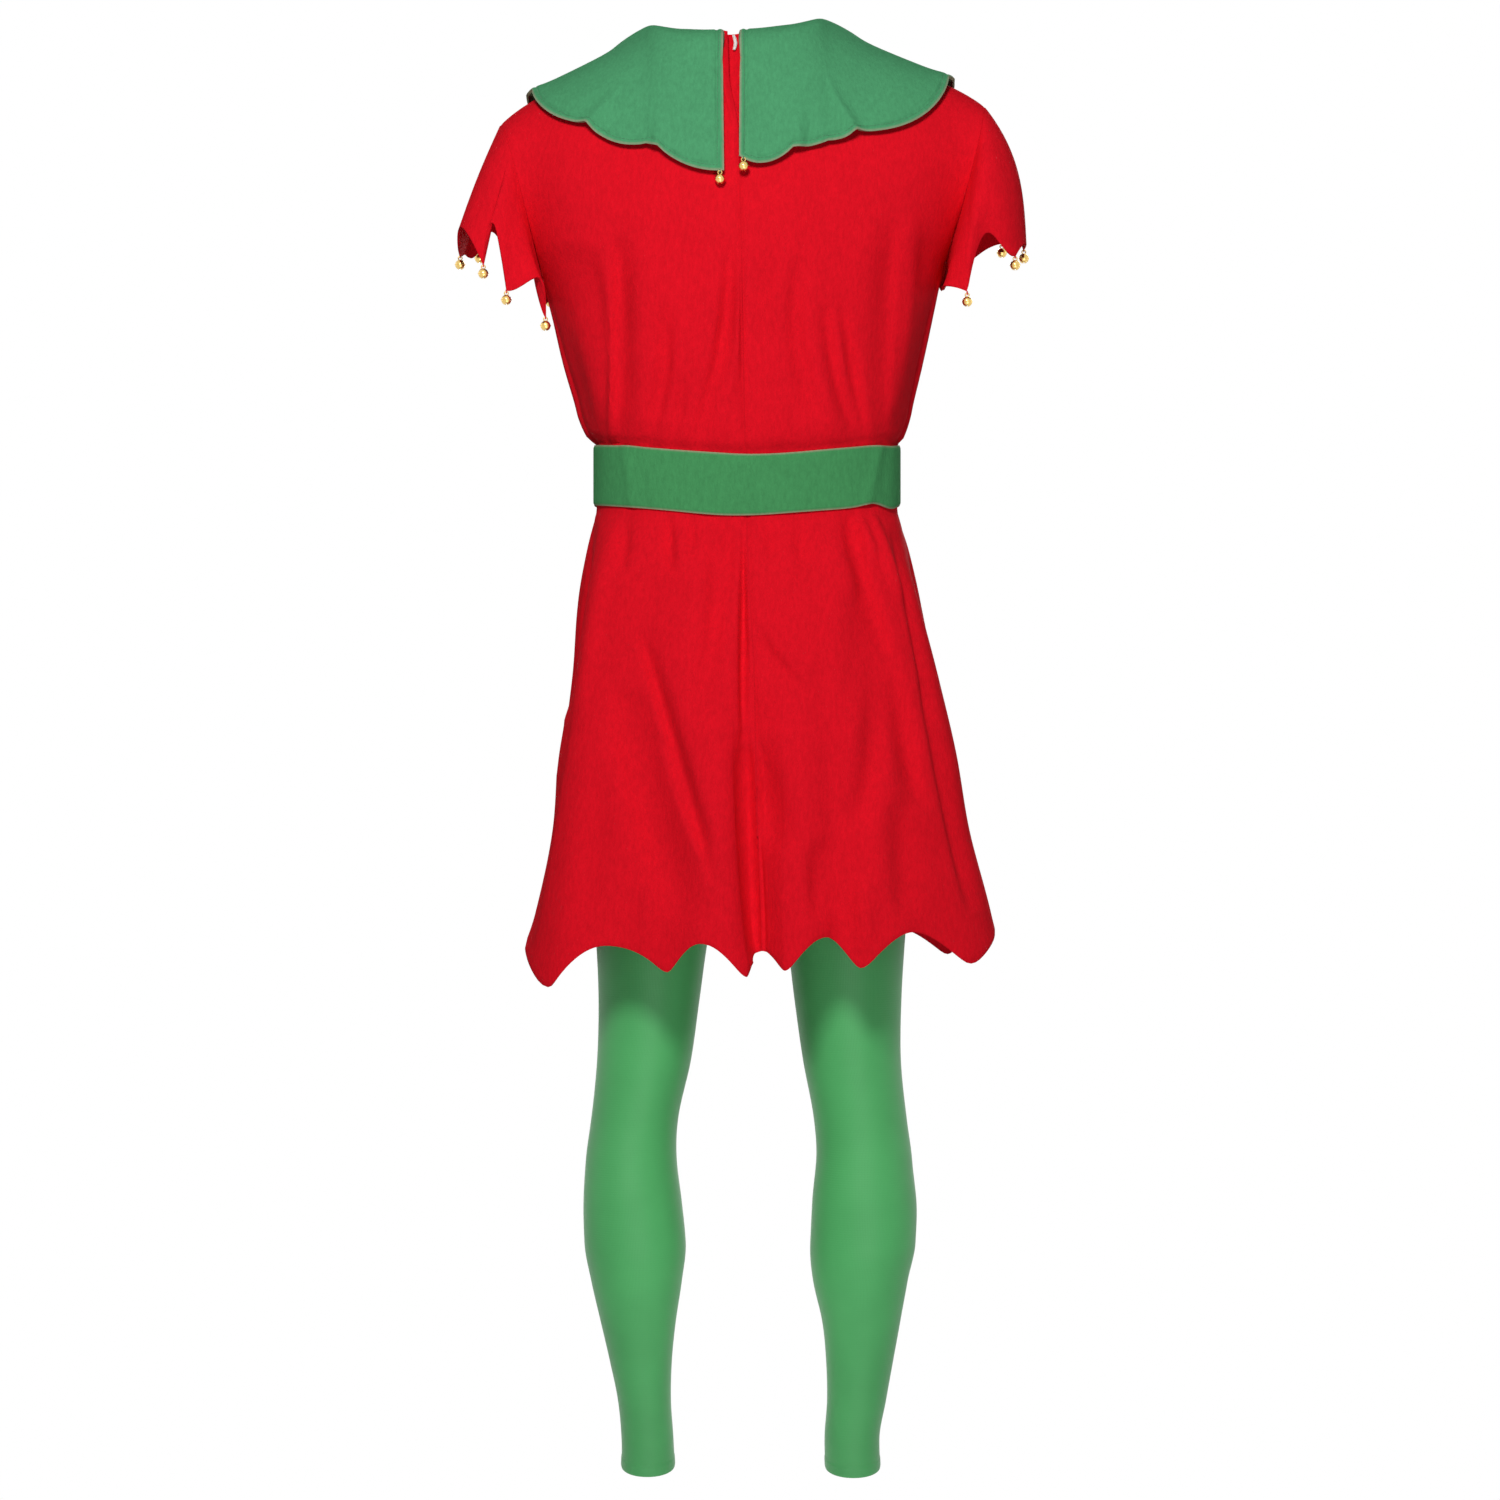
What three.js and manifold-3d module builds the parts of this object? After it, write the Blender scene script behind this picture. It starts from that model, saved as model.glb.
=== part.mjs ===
// Elf costume, filled out as it is worn, with no wearer in it: a felt tunic with pointed hem and cuffs,
// a wide collar split at the back, a felt belt, small bells on the points, and footless leggings.
//
// Millimetres. +Z is up, +X is the wearer's right and +Y the wearer's front, so the back faces -Y.
// The origin is between the shoulders, level with the neck ends of the shoulder seams.
import * as THREE from "three";
import { mergeVertices } from "three/addons/utils/BufferGeometryUtils.js";
import Module from "manifold-3d";

const wasm = await Module();
wasm.setup();

// Driving dimensions.
const WALL = { tunic: 2, collar: 3, belt: 3, waistband: 2, legging: 1 };
const SEAM = 0.3; // gap between two pieces where they are sewn together
const NECK = { x: -6, halfWidth: 86, back: 64, front: 78, backDrop: 13, frontDrop: 74, tilt: 3.5, rise: -4 };
const SHOULDER = {
  left: { x: -242, z: -98, armholeCurve: 1.3 },
  right: { x: 242, z: -80, armholeCurve: 2 },
  sag: 4, // of the shoulder seam
};
const ARMHOLE = { level: -243.5, tilt: 11.5, bulge: 60 };
// The belt starts at the front and goes once round. start, lap and ramp are in degrees.
const BELT = { height: 60, middle: -446, backDip: 15, start: 172, lap: 18, ramp: 14 };
const HEM_TEETH = 14; // points round the tunic's hem
const HALF = HEM_TEETH / 4; // teeth from the centre back to a side seam
const NECK_TEETH = 1.5; // teeth from the centre back to the neck end of a shoulder seam
const SLIT = { depth: 128, left: -8, right: -19, sink: 5 }; // sideways shift of the two edges at the neck
const BELL = { radius: 5, ridge: 0.5, loop: 1.9, wire: 0.6, slot: 1.1, slotDepth: 1.2, sides: 8 };
const BAND = { height: 30, top: -422 }; // elastic waistband of the leggings
const CROTCH = { x: 8, z: -735, hip: -590 };

// Level sections of the tunic: middle, half width, and depth behind and before the middle.
const TUNIC = [
  { z: -200, x: 0, half: 208, back: 110, front: 122, square: 2.3 },
  { z: -255, x: 0, half: 198, back: 111, front: 124, square: 2.35 },
  { z: -295, x: 1, half: 188, back: 110, front: 122, square: 2.4 },
  { z: -330, x: 1.5, half: 179, back: 108, front: 119, square: 2.45 },
  { z: -370, x: 2.5, half: 168, back: 104, front: 114, square: 2.5 },
  { z: -407, x: 3.5, half: 158.5, back: 101, front: 111, square: 2.5 },
  { z: -416, x: 5, half: 150.2, back: 95, front: 104, square: 2.5 },
  { z: -480, x: 5, half: 150.2, back: 95, front: 104, square: 2.5 },
  { z: -493, x: 5, half: 153.5, back: 99, front: 108, square: 2.5 },
  { z: -520, x: 6, half: 161, back: 109, front: 117, square: 2.5 },
  { z: -580, x: 8, half: 172, back: 124, front: 127, square: 2.5 },
  { z: -640, x: 11, half: 182, back: 135, front: 134, square: 2.5 },
  { z: -720, x: 12, half: 198, back: 145, front: 144, square: 2.5 },
  { z: -800, x: 13.5, half: 209, back: 152, front: 151, square: 2.45 },
  { z: -880, x: 16, half: 226, back: 158, front: 157, square: 2.4 },
  { z: -960, x: 17, half: 240, back: 163, front: 161, square: 2.4 },
];

// Points of the hem from the centre back round by the wearer's right. Each row is the arch before a point
// and the point itself: degrees round from the back, and height.
const HEM = [
  { archAt: 1, arch: -914, tipAt: 8.5, tip: -932 },
  { archAt: 23, arch: -900, tipAt: 33, tip: -930 },
  { archAt: 48, arch: -896, tipAt: 63, tip: -928 },
  { archAt: 83, arch: -898, tipAt: 99, tip: -915 },
  { archAt: 110, arch: -902, tipAt: 121, tip: -930 },
  { archAt: 132, arch: -904, tipAt: 143, tip: -934 },
  { archAt: 154, arch: -905, tipAt: 165, tip: -937 },
  { archAt: 176, arch: -903, tipAt: 187, tip: -932 },
  { archAt: 198, arch: -906, tipAt: 208, tip: -936 },
  { archAt: 218, arch: -905, tipAt: 228, tip: -940 },
  { archAt: 236, arch: -904, tipAt: 244, tip: -941 },
  { archAt: 275, arch: -904, tipAt: 301, tip: -950 },
  { archAt: 313, arch: -909, tipAt: 329, tip: -934 },
  { archAt: 341, arch: -906, tipAt: 356, tip: -938 },
];

// Folds of the skirt, in teeth round from the centre back: where each leaves the belt and meets the hem,
// its half width in teeth, and how far it stands out (or sinks in, below 0) at the hips and at the hem.
const SKIRT_FOLDS = [
  { belt: 0, hem: 0, width: 0.42, hips: -3, foot: -24 },
  { belt: 0.55, hem: 0.5, width: 0.4, hips: 3, foot: 7 },
  { belt: 1.3, hem: 1.38, width: 0.32, hips: -1, foot: -9 },
  { belt: 1.75, hem: 1.85, width: 0.4, hips: 3, foot: 9 },
  { belt: 2.15, hem: 2.2, width: 0.3, hips: -3, foot: -8 },
  { belt: 2.5, hem: 2.72, width: 0.42, hips: 9, foot: 13 },
  { belt: 3.15, hem: 3.3, width: 0.35, hips: -3, foot: -7 },
  { belt: 4.2, hem: 4.4, width: 0.45, hips: 6, foot: 12 },
  { belt: 4.9, hem: 5.0, width: 0.4, hips: -2, foot: -10 },
  { belt: 5.6, hem: 5.6, width: 0.45, hips: 4, foot: 11 },
  { belt: 6.4, hem: 6.3, width: 0.4, hips: -1, foot: -9 },
  { belt: 7.1, hem: 7.1, width: 0.5, hips: 4, foot: 10 },
  { belt: 7.8, hem: 7.9, width: 0.4, hips: -2, foot: -10 },
  { belt: 8.6, hem: 8.7, width: 0.5, hips: 5, foot: 12 },
  { belt: 9.4, hem: 9.4, width: 0.35, hips: -2, foot: -9 },
  { belt: 10.0, hem: 10.0, width: 0.4, hips: 6, foot: 8 },
  { belt: 10.7, hem: 10.9, width: 0.35, hips: -3, foot: -9 },
  { belt: 11.5, hem: 11.5, width: 0.45, hips: 9, foot: 18 },
  { belt: 12.3, hem: 12.45, width: 0.45, hips: -2, foot: -9 },
  { belt: 12.9, hem: 13.0, width: 0.35, hips: 3, foot: 8 },
  { belt: 13.45, hem: 13.5, width: 0.3, hips: 2, foot: 5 },
];

// Folds of the bodice, in teeth round from the centre back: at the belt and at their upper end, half width
// in teeth, how far each stands out, and how high above the belt it dies away.
const BODICE_FOLDS = [
  { belt: 0.75, top: 0.6, width: 0.3, out: 3.5, reach: 110 },
  { belt: 1.55, top: 1.3, width: 0.3, out: 4.5, reach: 150 },
  { belt: 2.5, top: 2.6, width: 0.32, out: 8, reach: 230 },
  { belt: 3.3, top: 3.2, width: 0.3, out: 4, reach: 170 },
  { belt: 4.3, top: 4.2, width: 0.35, out: 6, reach: 180 },
  { belt: 5.4, top: 5.6, width: 0.35, out: 5, reach: 150 },
  { belt: 6.5, top: 6.6, width: 0.35, out: 4, reach: 120 },
  { belt: 7.6, top: 7.5, width: 0.35, out: 4, reach: 130 },
  { belt: 8.6, top: 8.4, width: 0.35, out: 5, reach: 160 },
  { belt: 9.6, top: 9.6, width: 0.35, out: 6, reach: 180 },
  { belt: 10.6, top: 10.6, width: 0.3, out: 4, reach: 170 },
  { belt: 11.5, top: 11.45, width: 0.3, out: 8, reach: 230 },
  { belt: 12.2, top: 12.3, width: 0.3, out: 4.5, reach: 170 },
  { belt: 12.75, top: 12.9, width: 0.28, out: 3.5, reach: 140 },
  { belt: 13.5, top: 13.3, width: 0.3, out: 4, reach: 160 },
];

// Cuffs: middle of the cuff ring, from there to its outer end, half its length front to back, and how far
// it hugs the body. Its points: degrees from the outer end round by the back, how far each hangs below the
// ring, how far the arch after it stands above, how far the arch's top leans to the next point, and how far
// inside the cloth its bell hangs.
const CUFFS = {
  left: {
    middle: [-244, 2, -241],
    outer: [-39, 0, 37],
    depth: 76,
    hug: 22,
    swell: 2,
    points: [
      { at: 0, drop: 21, rise: 6, lean: 1 },
      { at: 74, drop: 12, rise: 38, lean: 1 },
      { at: 106, drop: 17.5, rise: 12, lean: 1.7 },
      { at: 150, drop: 19, rise: 6, lean: 1 },
      { at: 208, drop: -18, rise: 22, lean: 1, inward: 0.9 },
      { at: 255, drop: -20, rise: 40, lean: 1 },
      { at: 308, drop: -8, rise: -12, lean: 1 },
    ],
  },
  right: {
    middle: [243, 2, -228],
    outer: [40, 0, 29],
    depth: 74,
    hug: 13,
    swell: 12,
    points: [
      { at: 0, drop: 20, rise: -18, lean: 1 },
      { at: 48, drop: 25, rise: 18, lean: 2 },
      { at: 115, drop: 30, rise: -8, lean: 1 },
      { at: 203, drop: -18, rise: 24, lean: 1, inward: 1.1 },
      { at: 240, drop: -10, rise: 14, lean: 1 },
      { at: 303, drop: -7, rise: 8, lean: 1 },
      { at: 324, drop: -4, rise: 4, lean: 1 },
    ],
  },
};

// The collar: how far it reaches over the tunic, its lift off it, and the sideways place of its split edges.
const COLLAR = {
  side: 0.9,
  backReach: 0.71,
  frontReach: 0.6,
  round: { front: 0.6, left: 0.84, right: 0.68 },
  droop: { front: 0.12, left: 0.09, right: 0.11 },
  roll: 5,
  seamGap: 0.8,
  gap: 3.9,
  frontGap: 5,
  flare: 3,
  splitLeft: [-12, -14],
  splitRight: [4, -1],
};
// Scallops of the collar's edge: degrees round from the centre back where each ends, and its corner's depth.
const COLLAR_CORNERS = [
  { at: 0, notch: 0.07 },
  { at: 16, notch: 0.04 },
  { at: 39, notch: 0.05 },
  { at: 82, notch: 0.04 },
  { at: 118, notch: 0.06 },
  { at: 150, notch: 0.06 },
  { at: 180, notch: 0.05 },
  { at: 210, notch: 0.06 },
  { at: 242, notch: 0.06 },
  { at: 278, notch: 0.04 },
  { at: 309, notch: 0.05 },
  { at: 337, notch: 0.03 },
  { at: 360, notch: 0 },
];

// Level sections of the leggings' body, and of each leg: middle, half width, half depth.
const HIPS = [
  { z: -450, x: 5, half: 146.6, back: 91.4, front: 100.4 },
  { z: -480, x: 5, half: 146.2, back: 91, front: 100 },
  { z: -520, x: 6, half: 149, back: 98, front: 102 },
  { z: -580, x: 7, half: 154, back: 108, front: 103 },
  { z: -640, x: 8, half: 158, back: 114, front: 101 },
  { z: -735, x: 8, half: 158, back: 104, front: 92 },
];
const LEGS = {
  left: [
    { z: -590, x: -70, half: 78, y: -5, depth: 104 },
    { z: -735, x: -76.2, half: 84, y: -4, depth: 90 },
    { z: -790, x: -81, half: 76, y: -2, depth: 84 },
    { z: -850, x: -86, half: 65, y: 0, depth: 75 },
    { z: -910, x: -90, half: 56, y: 2, depth: 67 },
    { z: -970, x: -93, half: 50.5, y: 3, depth: 61 },
    { z: -1030, x: -98, half: 47, y: 3, depth: 57 },
    { z: -1090, x: -107.5, half: 43.5, y: 1, depth: 53 },
    { z: -1130, x: -110.5, half: 45.5, y: -5, depth: 54 },
    { z: -1170, x: -109, half: 49, y: -11, depth: 56 },
    { z: -1210, x: -106.5, half: 50.5, y: -13, depth: 56 },
    { z: -1250, x: -105, half: 45, y: -11, depth: 51 },
    { z: -1290, x: -103.5, half: 37.5, y: -7, depth: 44 },
    { z: -1330, x: -101, half: 31, y: -3, depth: 38 },
    { z: -1370, x: -97.5, half: 26.5, y: 0, depth: 34 },
    { z: -1410, x: -94.5, half: 26, y: 3, depth: 32 },
    { z: -1450, x: -94, half: 27, y: 5, depth: 33 },
  ],
  right: [
    { z: -590, x: 86, half: 78, y: -5, depth: 104 },
    { z: -735, x: 92.2, half: 84, y: -4, depth: 90 },
    { z: -790, x: 97, half: 77, y: -2, depth: 84 },
    { z: -850, x: 101, half: 67, y: 0, depth: 76 },
    { z: -910, x: 104, half: 59, y: 2, depth: 69 },
    { z: -970, x: 106, half: 53.5, y: 3, depth: 63 },
    { z: -1030, x: 110, half: 49, y: 3, depth: 58 },
    { z: -1090, x: 118.5, half: 46.5, y: 1, depth: 54 },
    { z: -1130, x: 122, half: 48, y: -5, depth: 55 },
    { z: -1170, x: 122, half: 52, y: -11, depth: 57 },
    { z: -1210, x: 120.5, half: 52.5, y: -13, depth: 57 },
    { z: -1250, x: 118, half: 47, y: -11, depth: 52 },
    { z: -1290, x: 119, half: 39, y: -7, depth: 45 },
    { z: -1330, x: 117.5, half: 33.5, y: -3, depth: 39 },
    { z: -1370, x: 114.5, half: 29.5, y: 0, depth: 35 },
    { z: -1410, x: 110, half: 27.5, y: 3, depth: 33 },
    { z: -1450, x: 111, half: 27.5, y: 5, depth: 33 },
  ],
};
const ANKLE = { left: -1436, right: -1437, backDip: 6, hem: 17, hemThick: 0.8 };

// Small maths.
const rad = Math.PI / 180;
const lerp = (a, b, t) => a + (b - a) * t;
const clamp = (x, low, high) => Math.min(high, Math.max(low, x));
const smooth = (a, b, x) => {
  const t = clamp((x - a) / (b - a), 0, 1);
  return t * t * (3 - 2 * t);
};
const bump = (x) => (Math.abs(x) >= 2 ? 0 : 0.5 + 0.5 * Math.cos((Math.PI * x) / 2));
const wrap = (x, period) => x - period * Math.floor(x / period);
const apart = (a, b) => wrap(a - b + HEM_TEETH / 2, HEM_TEETH) - HEM_TEETH / 2;

// A value of a table of sections at height z, on a smooth curve through its rows.
function at(table, column, z) {
  let i = table.findIndex((row) => row.z <= z);
  if (i === 0) return table[0][column];
  if (i < 0) return table[table.length - 1][column];
  const row = (k) => table[clamp(k, 0, table.length - 1)];
  const [p, a, b, n] = [row(i - 2), row(i - 1), row(i), row(i + 1)];
  const t = (a.z - z) / (a.z - b.z);
  const slope = (from, here, to) => {
    const [rise, fall] = [here[column] - from[column], to[column] - here[column]];
    return rise * fall > 0 ? (to[column] - from[column]) / (from.z - to.z) : 0;
  };
  const ma = slope(p, a, b) * (a.z - b.z);
  const mb = slope(a, b, n) * (a.z - b.z);
  const [t2, t3] = [t * t, t * t * t];
  const ends = (2 * t3 - 3 * t2 + 1) * a[column] + (3 * t2 - 2 * t3) * b[column];
  return ends + (t3 - 2 * t2 + t) * ma + (t3 - t2) * mb;
}

// Distance from the middle of an oval to its edge, at an angle from the back.
function ovalRadius(angle, half, back, front, square) {
  const [s, c] = [Math.abs(Math.sin(angle)), Math.cos(angle)];
  const deep = c > 0 ? back : front;
  return ((s / half) ** square + (Math.abs(c) / deep) ** square) ** (-1 / square);
}

// The tunic's level section at height z: the point at an angle from the back, moved out by some millimetres.
function tunicRing(angle, z, out) {
  const row = (column) => at(TUNIC, column, z);
  const r = ovalRadius(angle, row("half"), row("back"), row("front"), row("square")) + out;
  return new THREE.Vector3(row("x") + r * Math.sin(angle), -r * Math.cos(angle), z);
}

// A point beside the waist of the tunic, some millimetres out from its outer side.
function besideWaist(angle, z, out) {
  const ahead = tunicRing(angle + 0.01, z, 0).sub(tunicRing(angle - 0.01, z, 0)).normalize();
  const point = tunicRing(angle, z, 0).add(new THREE.Vector3(ahead.y, -ahead.x, 0).multiplyScalar(out));
  point.z += waistDip(angle, z);
  return point;
}

// How far the belt, and the waist under it, dips at this angle. It fades away from the belt.
function waistDip(angle, z) {
  const near = smooth(-300, -405, z) * smooth(-600, -486, z);
  return -BELT.backDip * Math.max(0, Math.cos(angle)) ** 1.5 * near;
}

// Angle at the hem and height of the hem, at a place in teeth round from the centre back.
function hemRow(place) {
  const turns = Math.floor(place / HEM_TEETH);
  const row = HEM[wrap(place, HEM_TEETH)];
  return { ...row, archAt: row.archAt + 360 * turns, tipAt: row.tipAt + 360 * turns };
}
function hemAngle(q) {
  const k = Math.floor(q);
  const [row, next, t] = [hemRow(k), hemRow(k + 1), q - k];
  return (t < 0.5 ? lerp(row.archAt, row.tipAt, 2 * t) : lerp(row.tipAt, next.archAt, 2 * t - 1)) * rad;
}
function hemHeight(q) {
  const k = Math.floor(q);
  const [row, next, t] = [hemRow(k), hemRow(k + 1), q - k];
  const up = 1 - (1 - Math.abs(2 * t - 1)) ** 2.2;
  return lerp(row.tip, t < 0.5 ? row.arch : next.arch, up);
}

// How far the cloth of the skirt stands out at q teeth round, v of the way from the belt to the hem.
function skirtFolds(q, v) {
  let out = 0;
  for (const fold of SKIRT_FOLDS) {
    const size = lerp(fold.hips, fold.foot, smooth(0.2, 1, v)) * smooth(0, 0.22, v);
    out += size * bump(apart(q, lerp(fold.belt, fold.hem, v)) / fold.width);
  }
  return out;
}

// How far the cloth of the bodice stands out at q teeth round and height z.
function bodiceFolds(q, z) {
  const rise = z - (BELT.middle + BELT.height / 2);
  let out = 0;
  for (const fold of BODICE_FOLDS) {
    const t = clamp(rise / fold.reach, 0, 1);
    const size = fold.out * smooth(0, 0.2, t) * (1 - smooth(0.35, 1, t));
    out += size * bump(apart(q, lerp(fold.belt, fold.top, t)) / fold.width);
  }
  return out;
}

// Which half of the tunic a place q is on, and s, how far it is from the centre (0) to the side seam (1).
function placeOf(q) {
  const round = wrap(q + HALF, HEM_TEETH) - HALF;
  const front = round > HALF;
  const offset = front ? 2 * HALF - round : round;
  return { front, s: Math.min(1, Math.abs(offset) / HALF), side: offset < 0 ? "left" : "right" };
}

// The upper edge of the tunic: the neckline, then the shoulder seam.
function topEdge({ front, s, side }) {
  const sign = side === "left" ? -1 : 1;
  const neckShare = NECK_TEETH / HALF;
  const neckEnd = new THREE.Vector3(NECK.x + sign * NECK.halfWidth, 0, NECK.rise + sign * NECK.tilt);
  if (s <= neckShare) {
    const a = (s / neckShare) * 90 * rad;
    const drop = (front ? NECK.frontDrop : NECK.backDrop) * Math.cos(a) ** (front ? 1.3 : 1.6);
    const deep = front ? NECK.front : -NECK.back;
    const x = lerp(NECK.x, neckEnd.x, Math.sin(a));
    return new THREE.Vector3(x, deep * Math.cos(a), neckEnd.z * Math.sin(a) - drop);
  }
  const u = (s - neckShare) / (1 - neckShare);
  const tip = SHOULDER[side];
  const sag = SHOULDER.sag * Math.sin(Math.PI * u) * (1 - u);
  const z = lerp(neckEnd.z, tip.z, 0.9 * u + 0.1 * u ** 8) - sag;
  return new THREE.Vector3(lerp(neckEnd.x, tip.x, u), 0, z);
}

const armholeLevel = (angle) => ARMHOLE.level + ARMHOLE.tilt * Math.sin(angle);
const uprightAngle = (q) => (q * 90 * rad) / HALF;

// The tunic between its upper edge (t = 0) and the level of the armholes (t = 1).
function yoke(q, t) {
  const place = placeOf(q);
  const { front, s, side } = place;
  const angle = uprightAngle(q);
  const top = topEdge(place);
  const foot = tunicRing(angle, armholeLevel(angle), bodiceFolds(q, armholeLevel(angle)));
  const turn = t * 90 * rad;
  const round = smooth(0, NECK_TEETH / HALF, s) * 0.45 + 0.55;
  const down = lerp(t, 1 - Math.cos(turn), round);
  const back = lerp(Math.sin(turn) ** 1.15, Math.sin(turn) ** 0.85, smooth(0, 0.3, s));
  const curve = lerp(1.2, SHOULDER[side].armholeCurve, s);
  const swell = ARMHOLE.bulge * s ** 4 * Math.sin(Math.PI * clamp(t, 0, 1)) ** 0.7 * (front ? 0.85 : -1);
  return new THREE.Vector3(
    lerp(top.x, foot.x, t ** curve),
    lerp(top.y, foot.y, back) + swell,
    lerp(top.z, foot.z, down),
  );
}

// Rows of the tunic from its upper edge to its hem. Whole numbers of v are the rows of the mesh.
const YOKE_ROWS = [0, 0.09, 0.22, 0.38, 0.56, 0.76, 0.92, 1];
const LEVELS = [-290, -345, -400, -416, -480, -497, -525, -570, -630, -700, -775, -850];
const HEM_ROWS = [0.4, 0.75, 1];
const TUNIC_ROWS = YOKE_ROWS.length - 1 + LEVELS.length + HEM_ROWS.length;

// A point of the tunic's outer side: q teeth round from the centre back, v rows down.
function tunicPoint(q, v) {
  const yokeEnd = YOKE_ROWS.length - 1;
  if (v <= yokeEnd) {
    const i = Math.min(Math.floor(v), yokeEnd - 1);
    return yoke(q, lerp(YOKE_ROWS[i], YOKE_ROWS[i + 1], v - i));
  }
  const straight = uprightAngle(q);
  const levelOf = (i) => (i === 0 ? armholeLevel(straight) : LEVELS[i - 1]);
  const lowest = LEVELS[LEVELS.length - 1];
  const down = v - yokeEnd;
  let z;
  if (down <= LEVELS.length) {
    const i = Math.min(Math.floor(down), LEVELS.length - 1);
    z = lerp(levelOf(i), levelOf(i + 1), down - i);
  } else {
    const i = Math.min(Math.floor(down - LEVELS.length), HEM_ROWS.length - 1);
    const t = down - LEVELS.length - i;
    z = lerp(lowest, hemHeight(q), lerp(i === 0 ? 0 : HEM_ROWS[i - 1], HEM_ROWS[i], t));
  }
  const beltFoot = BELT.middle - BELT.height / 2;
  const fall = clamp((beltFoot - z) / (beltFoot - hemHeight(q)), 0, 1);
  const angle = lerp(straight, hemAngle(q), smooth(0, 1, fall));
  const out = z > BELT.middle ? bodiceFolds(q, z) : skirtFolds(q, fall);
  const point = tunicRing(angle, z, out);
  point.z += waistDip(angle, z);
  return point;
}

// Both back panels run past the centre line in the neck slit: the left one lies over the right one.
function backPoint(q, v, side) {
  const point = tunicPoint(q, v);
  const sunk = smooth(SLIT.depth + 40, SLIT.depth - 10, -point.z);
  const lapped = smooth(SLIT.depth - 10, SLIT.depth - 70, -point.z);
  const near = 1 - smooth(0, 0.45, Math.abs(q));
  if (side === "right") {
    point.x += SLIT.right * lapped * near;
    point.y += SLIT.sink * sunk * near;
  } else {
    point.x += SLIT.left * lapped * near;
    point.y -= 0.6 * sunk * near;
  }
  return point;
}

// The outward direction of a surface at (q, v), from two short steps on it.
function outward(surface, q, v, turn, limits) {
  const step = 0.004;
  const [q0, q1] = [Math.max(limits.q[0], q - step), Math.min(limits.q[1], q + step)];
  const [v0, v1] = [Math.max(limits.v[0], v - step), Math.min(limits.v[1], v + step)];
  const down = surface(q, v1).sub(surface(q, v0));
  const round = surface(q1, v).sub(surface(q0, v));
  return down.cross(round).normalize().multiplyScalar(turn);
}

// A closed wall of cloth: the surface at each (q, v) is its outer side, and its inner side lies one
// thickness in. From row ringFrom down, the first and last columns are one, so the wall is a tube there.
function clothWall(surface, qs, vs, thickness, { turn = 1, ringFrom = Infinity, inward = null } = {}) {
  const [columns, rows] = [qs.length, vs.length];
  const limitsAt = (i) => ({
    q: i >= ringFrom ? [-Infinity, Infinity] : [qs[0], qs[columns - 1]],
    v: [vs[0], vs[rows - 1]],
  });
  const thickAt = typeof thickness === "function" ? thickness : () => thickness;
  const positions = [];
  vs.forEach((v, i) => {
    for (const q of qs) {
      const outer = surface(q, v);
      const normal = outward(surface, q, v, turn, limitsAt(i));
      const inner = outer.clone().addScaledVector(inward ? inward(q, v, normal) : normal, -thickAt(q, v));
      positions.push(...outer.toArray(), ...inner.toArray());
    }
  });
  const index = (i, j, layer) => 2 * (i * columns + (j === columns - 1 && i >= ringFrom ? 0 : j)) + layer;
  const faces = [];
  const triangle = (a, b, c) => {
    if (a !== b && b !== c && a !== c) faces.push(a, b, c);
  };
  const quad = (a, b, c, d) => {
    triangle(a, b, c);
    triangle(a, c, d);
  };
  const last = columns - 1;
  for (let j = 0; j < last; j++) {
    for (let i = 0; i < rows - 1; i++) {
      quad(index(i, j, 0), index(i + 1, j, 0), index(i + 1, j + 1, 0), index(i, j + 1, 0));
      quad(index(i, j, 1), index(i, j + 1, 1), index(i + 1, j + 1, 1), index(i + 1, j, 1));
    }
    quad(index(0, j, 0), index(0, j + 1, 0), index(0, j + 1, 1), index(0, j, 1));
    quad(index(rows - 1, j, 0), index(rows - 1, j, 1), index(rows - 1, j + 1, 1), index(rows - 1, j + 1, 0));
  }
  for (let i = 0; i < Math.min(rows - 1, ringFrom); i++) {
    quad(index(i, 0, 0), index(i, 0, 1), index(i + 1, 0, 1), index(i + 1, 0, 0));
    quad(index(i, last, 0), index(i + 1, last, 0), index(i + 1, last, 1), index(i, last, 1));
  }
  if (turn < 0) faces.reverse();
  const wall = new THREE.BufferGeometry();
  wall.setAttribute("position", new THREE.Float32BufferAttribute(positions, 3));
  wall.setIndex(faces);
  return mergeVertices(wall.toNonIndexed(), 1e-4); // leaves out the points that no face uses
}

const steps = (from, to, count) => Array.from({ length: count + 1 }, (_, i) => lerp(from, to, i / count));

// Columns that fall on every arch and point of a pointed edge, with some between them. Each share is how
// far a column lies from an arch to a point.
function toothColumns(from, to, between) {
  const columns = [];
  for (let half = Math.floor(2 * from); half < 2 * to; half++) {
    const towardsPoint = half % 2 === 0;
    columns.push(half / 2);
    for (const share of between) columns.push((half + (towardsPoint ? share : 1 - share)) / 2);
  }
  const inside = columns.filter((q) => q > from + 1e-6 && q < to - 1e-6).sort((a, b) => a - b);
  return [from, ...inside, to];
}

// Materials.
const FINISH = {
  redFelt: { color: 0xd0101f, roughness: 0.95 },
  greenFelt: { color: 0x3f9a5a, roughness: 0.95 },
  greenKnit: { color: 0x3a9550, roughness: 0.7 },
  brass: { color: 0xc9a24a, roughness: 0.25, metalness: 1 },
  whiteTape: { color: 0xf2efea, roughness: 0.8 },
};
const costume = new THREE.Group();
function add(name, geometry, finish) {
  geometry.computeVertexNormals();
  const mesh = new THREE.Mesh(geometry, new THREE.MeshStandardMaterial(FINISH[finish]));
  mesh.name = name;
  costume.add(mesh);
  return mesh;
}

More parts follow.
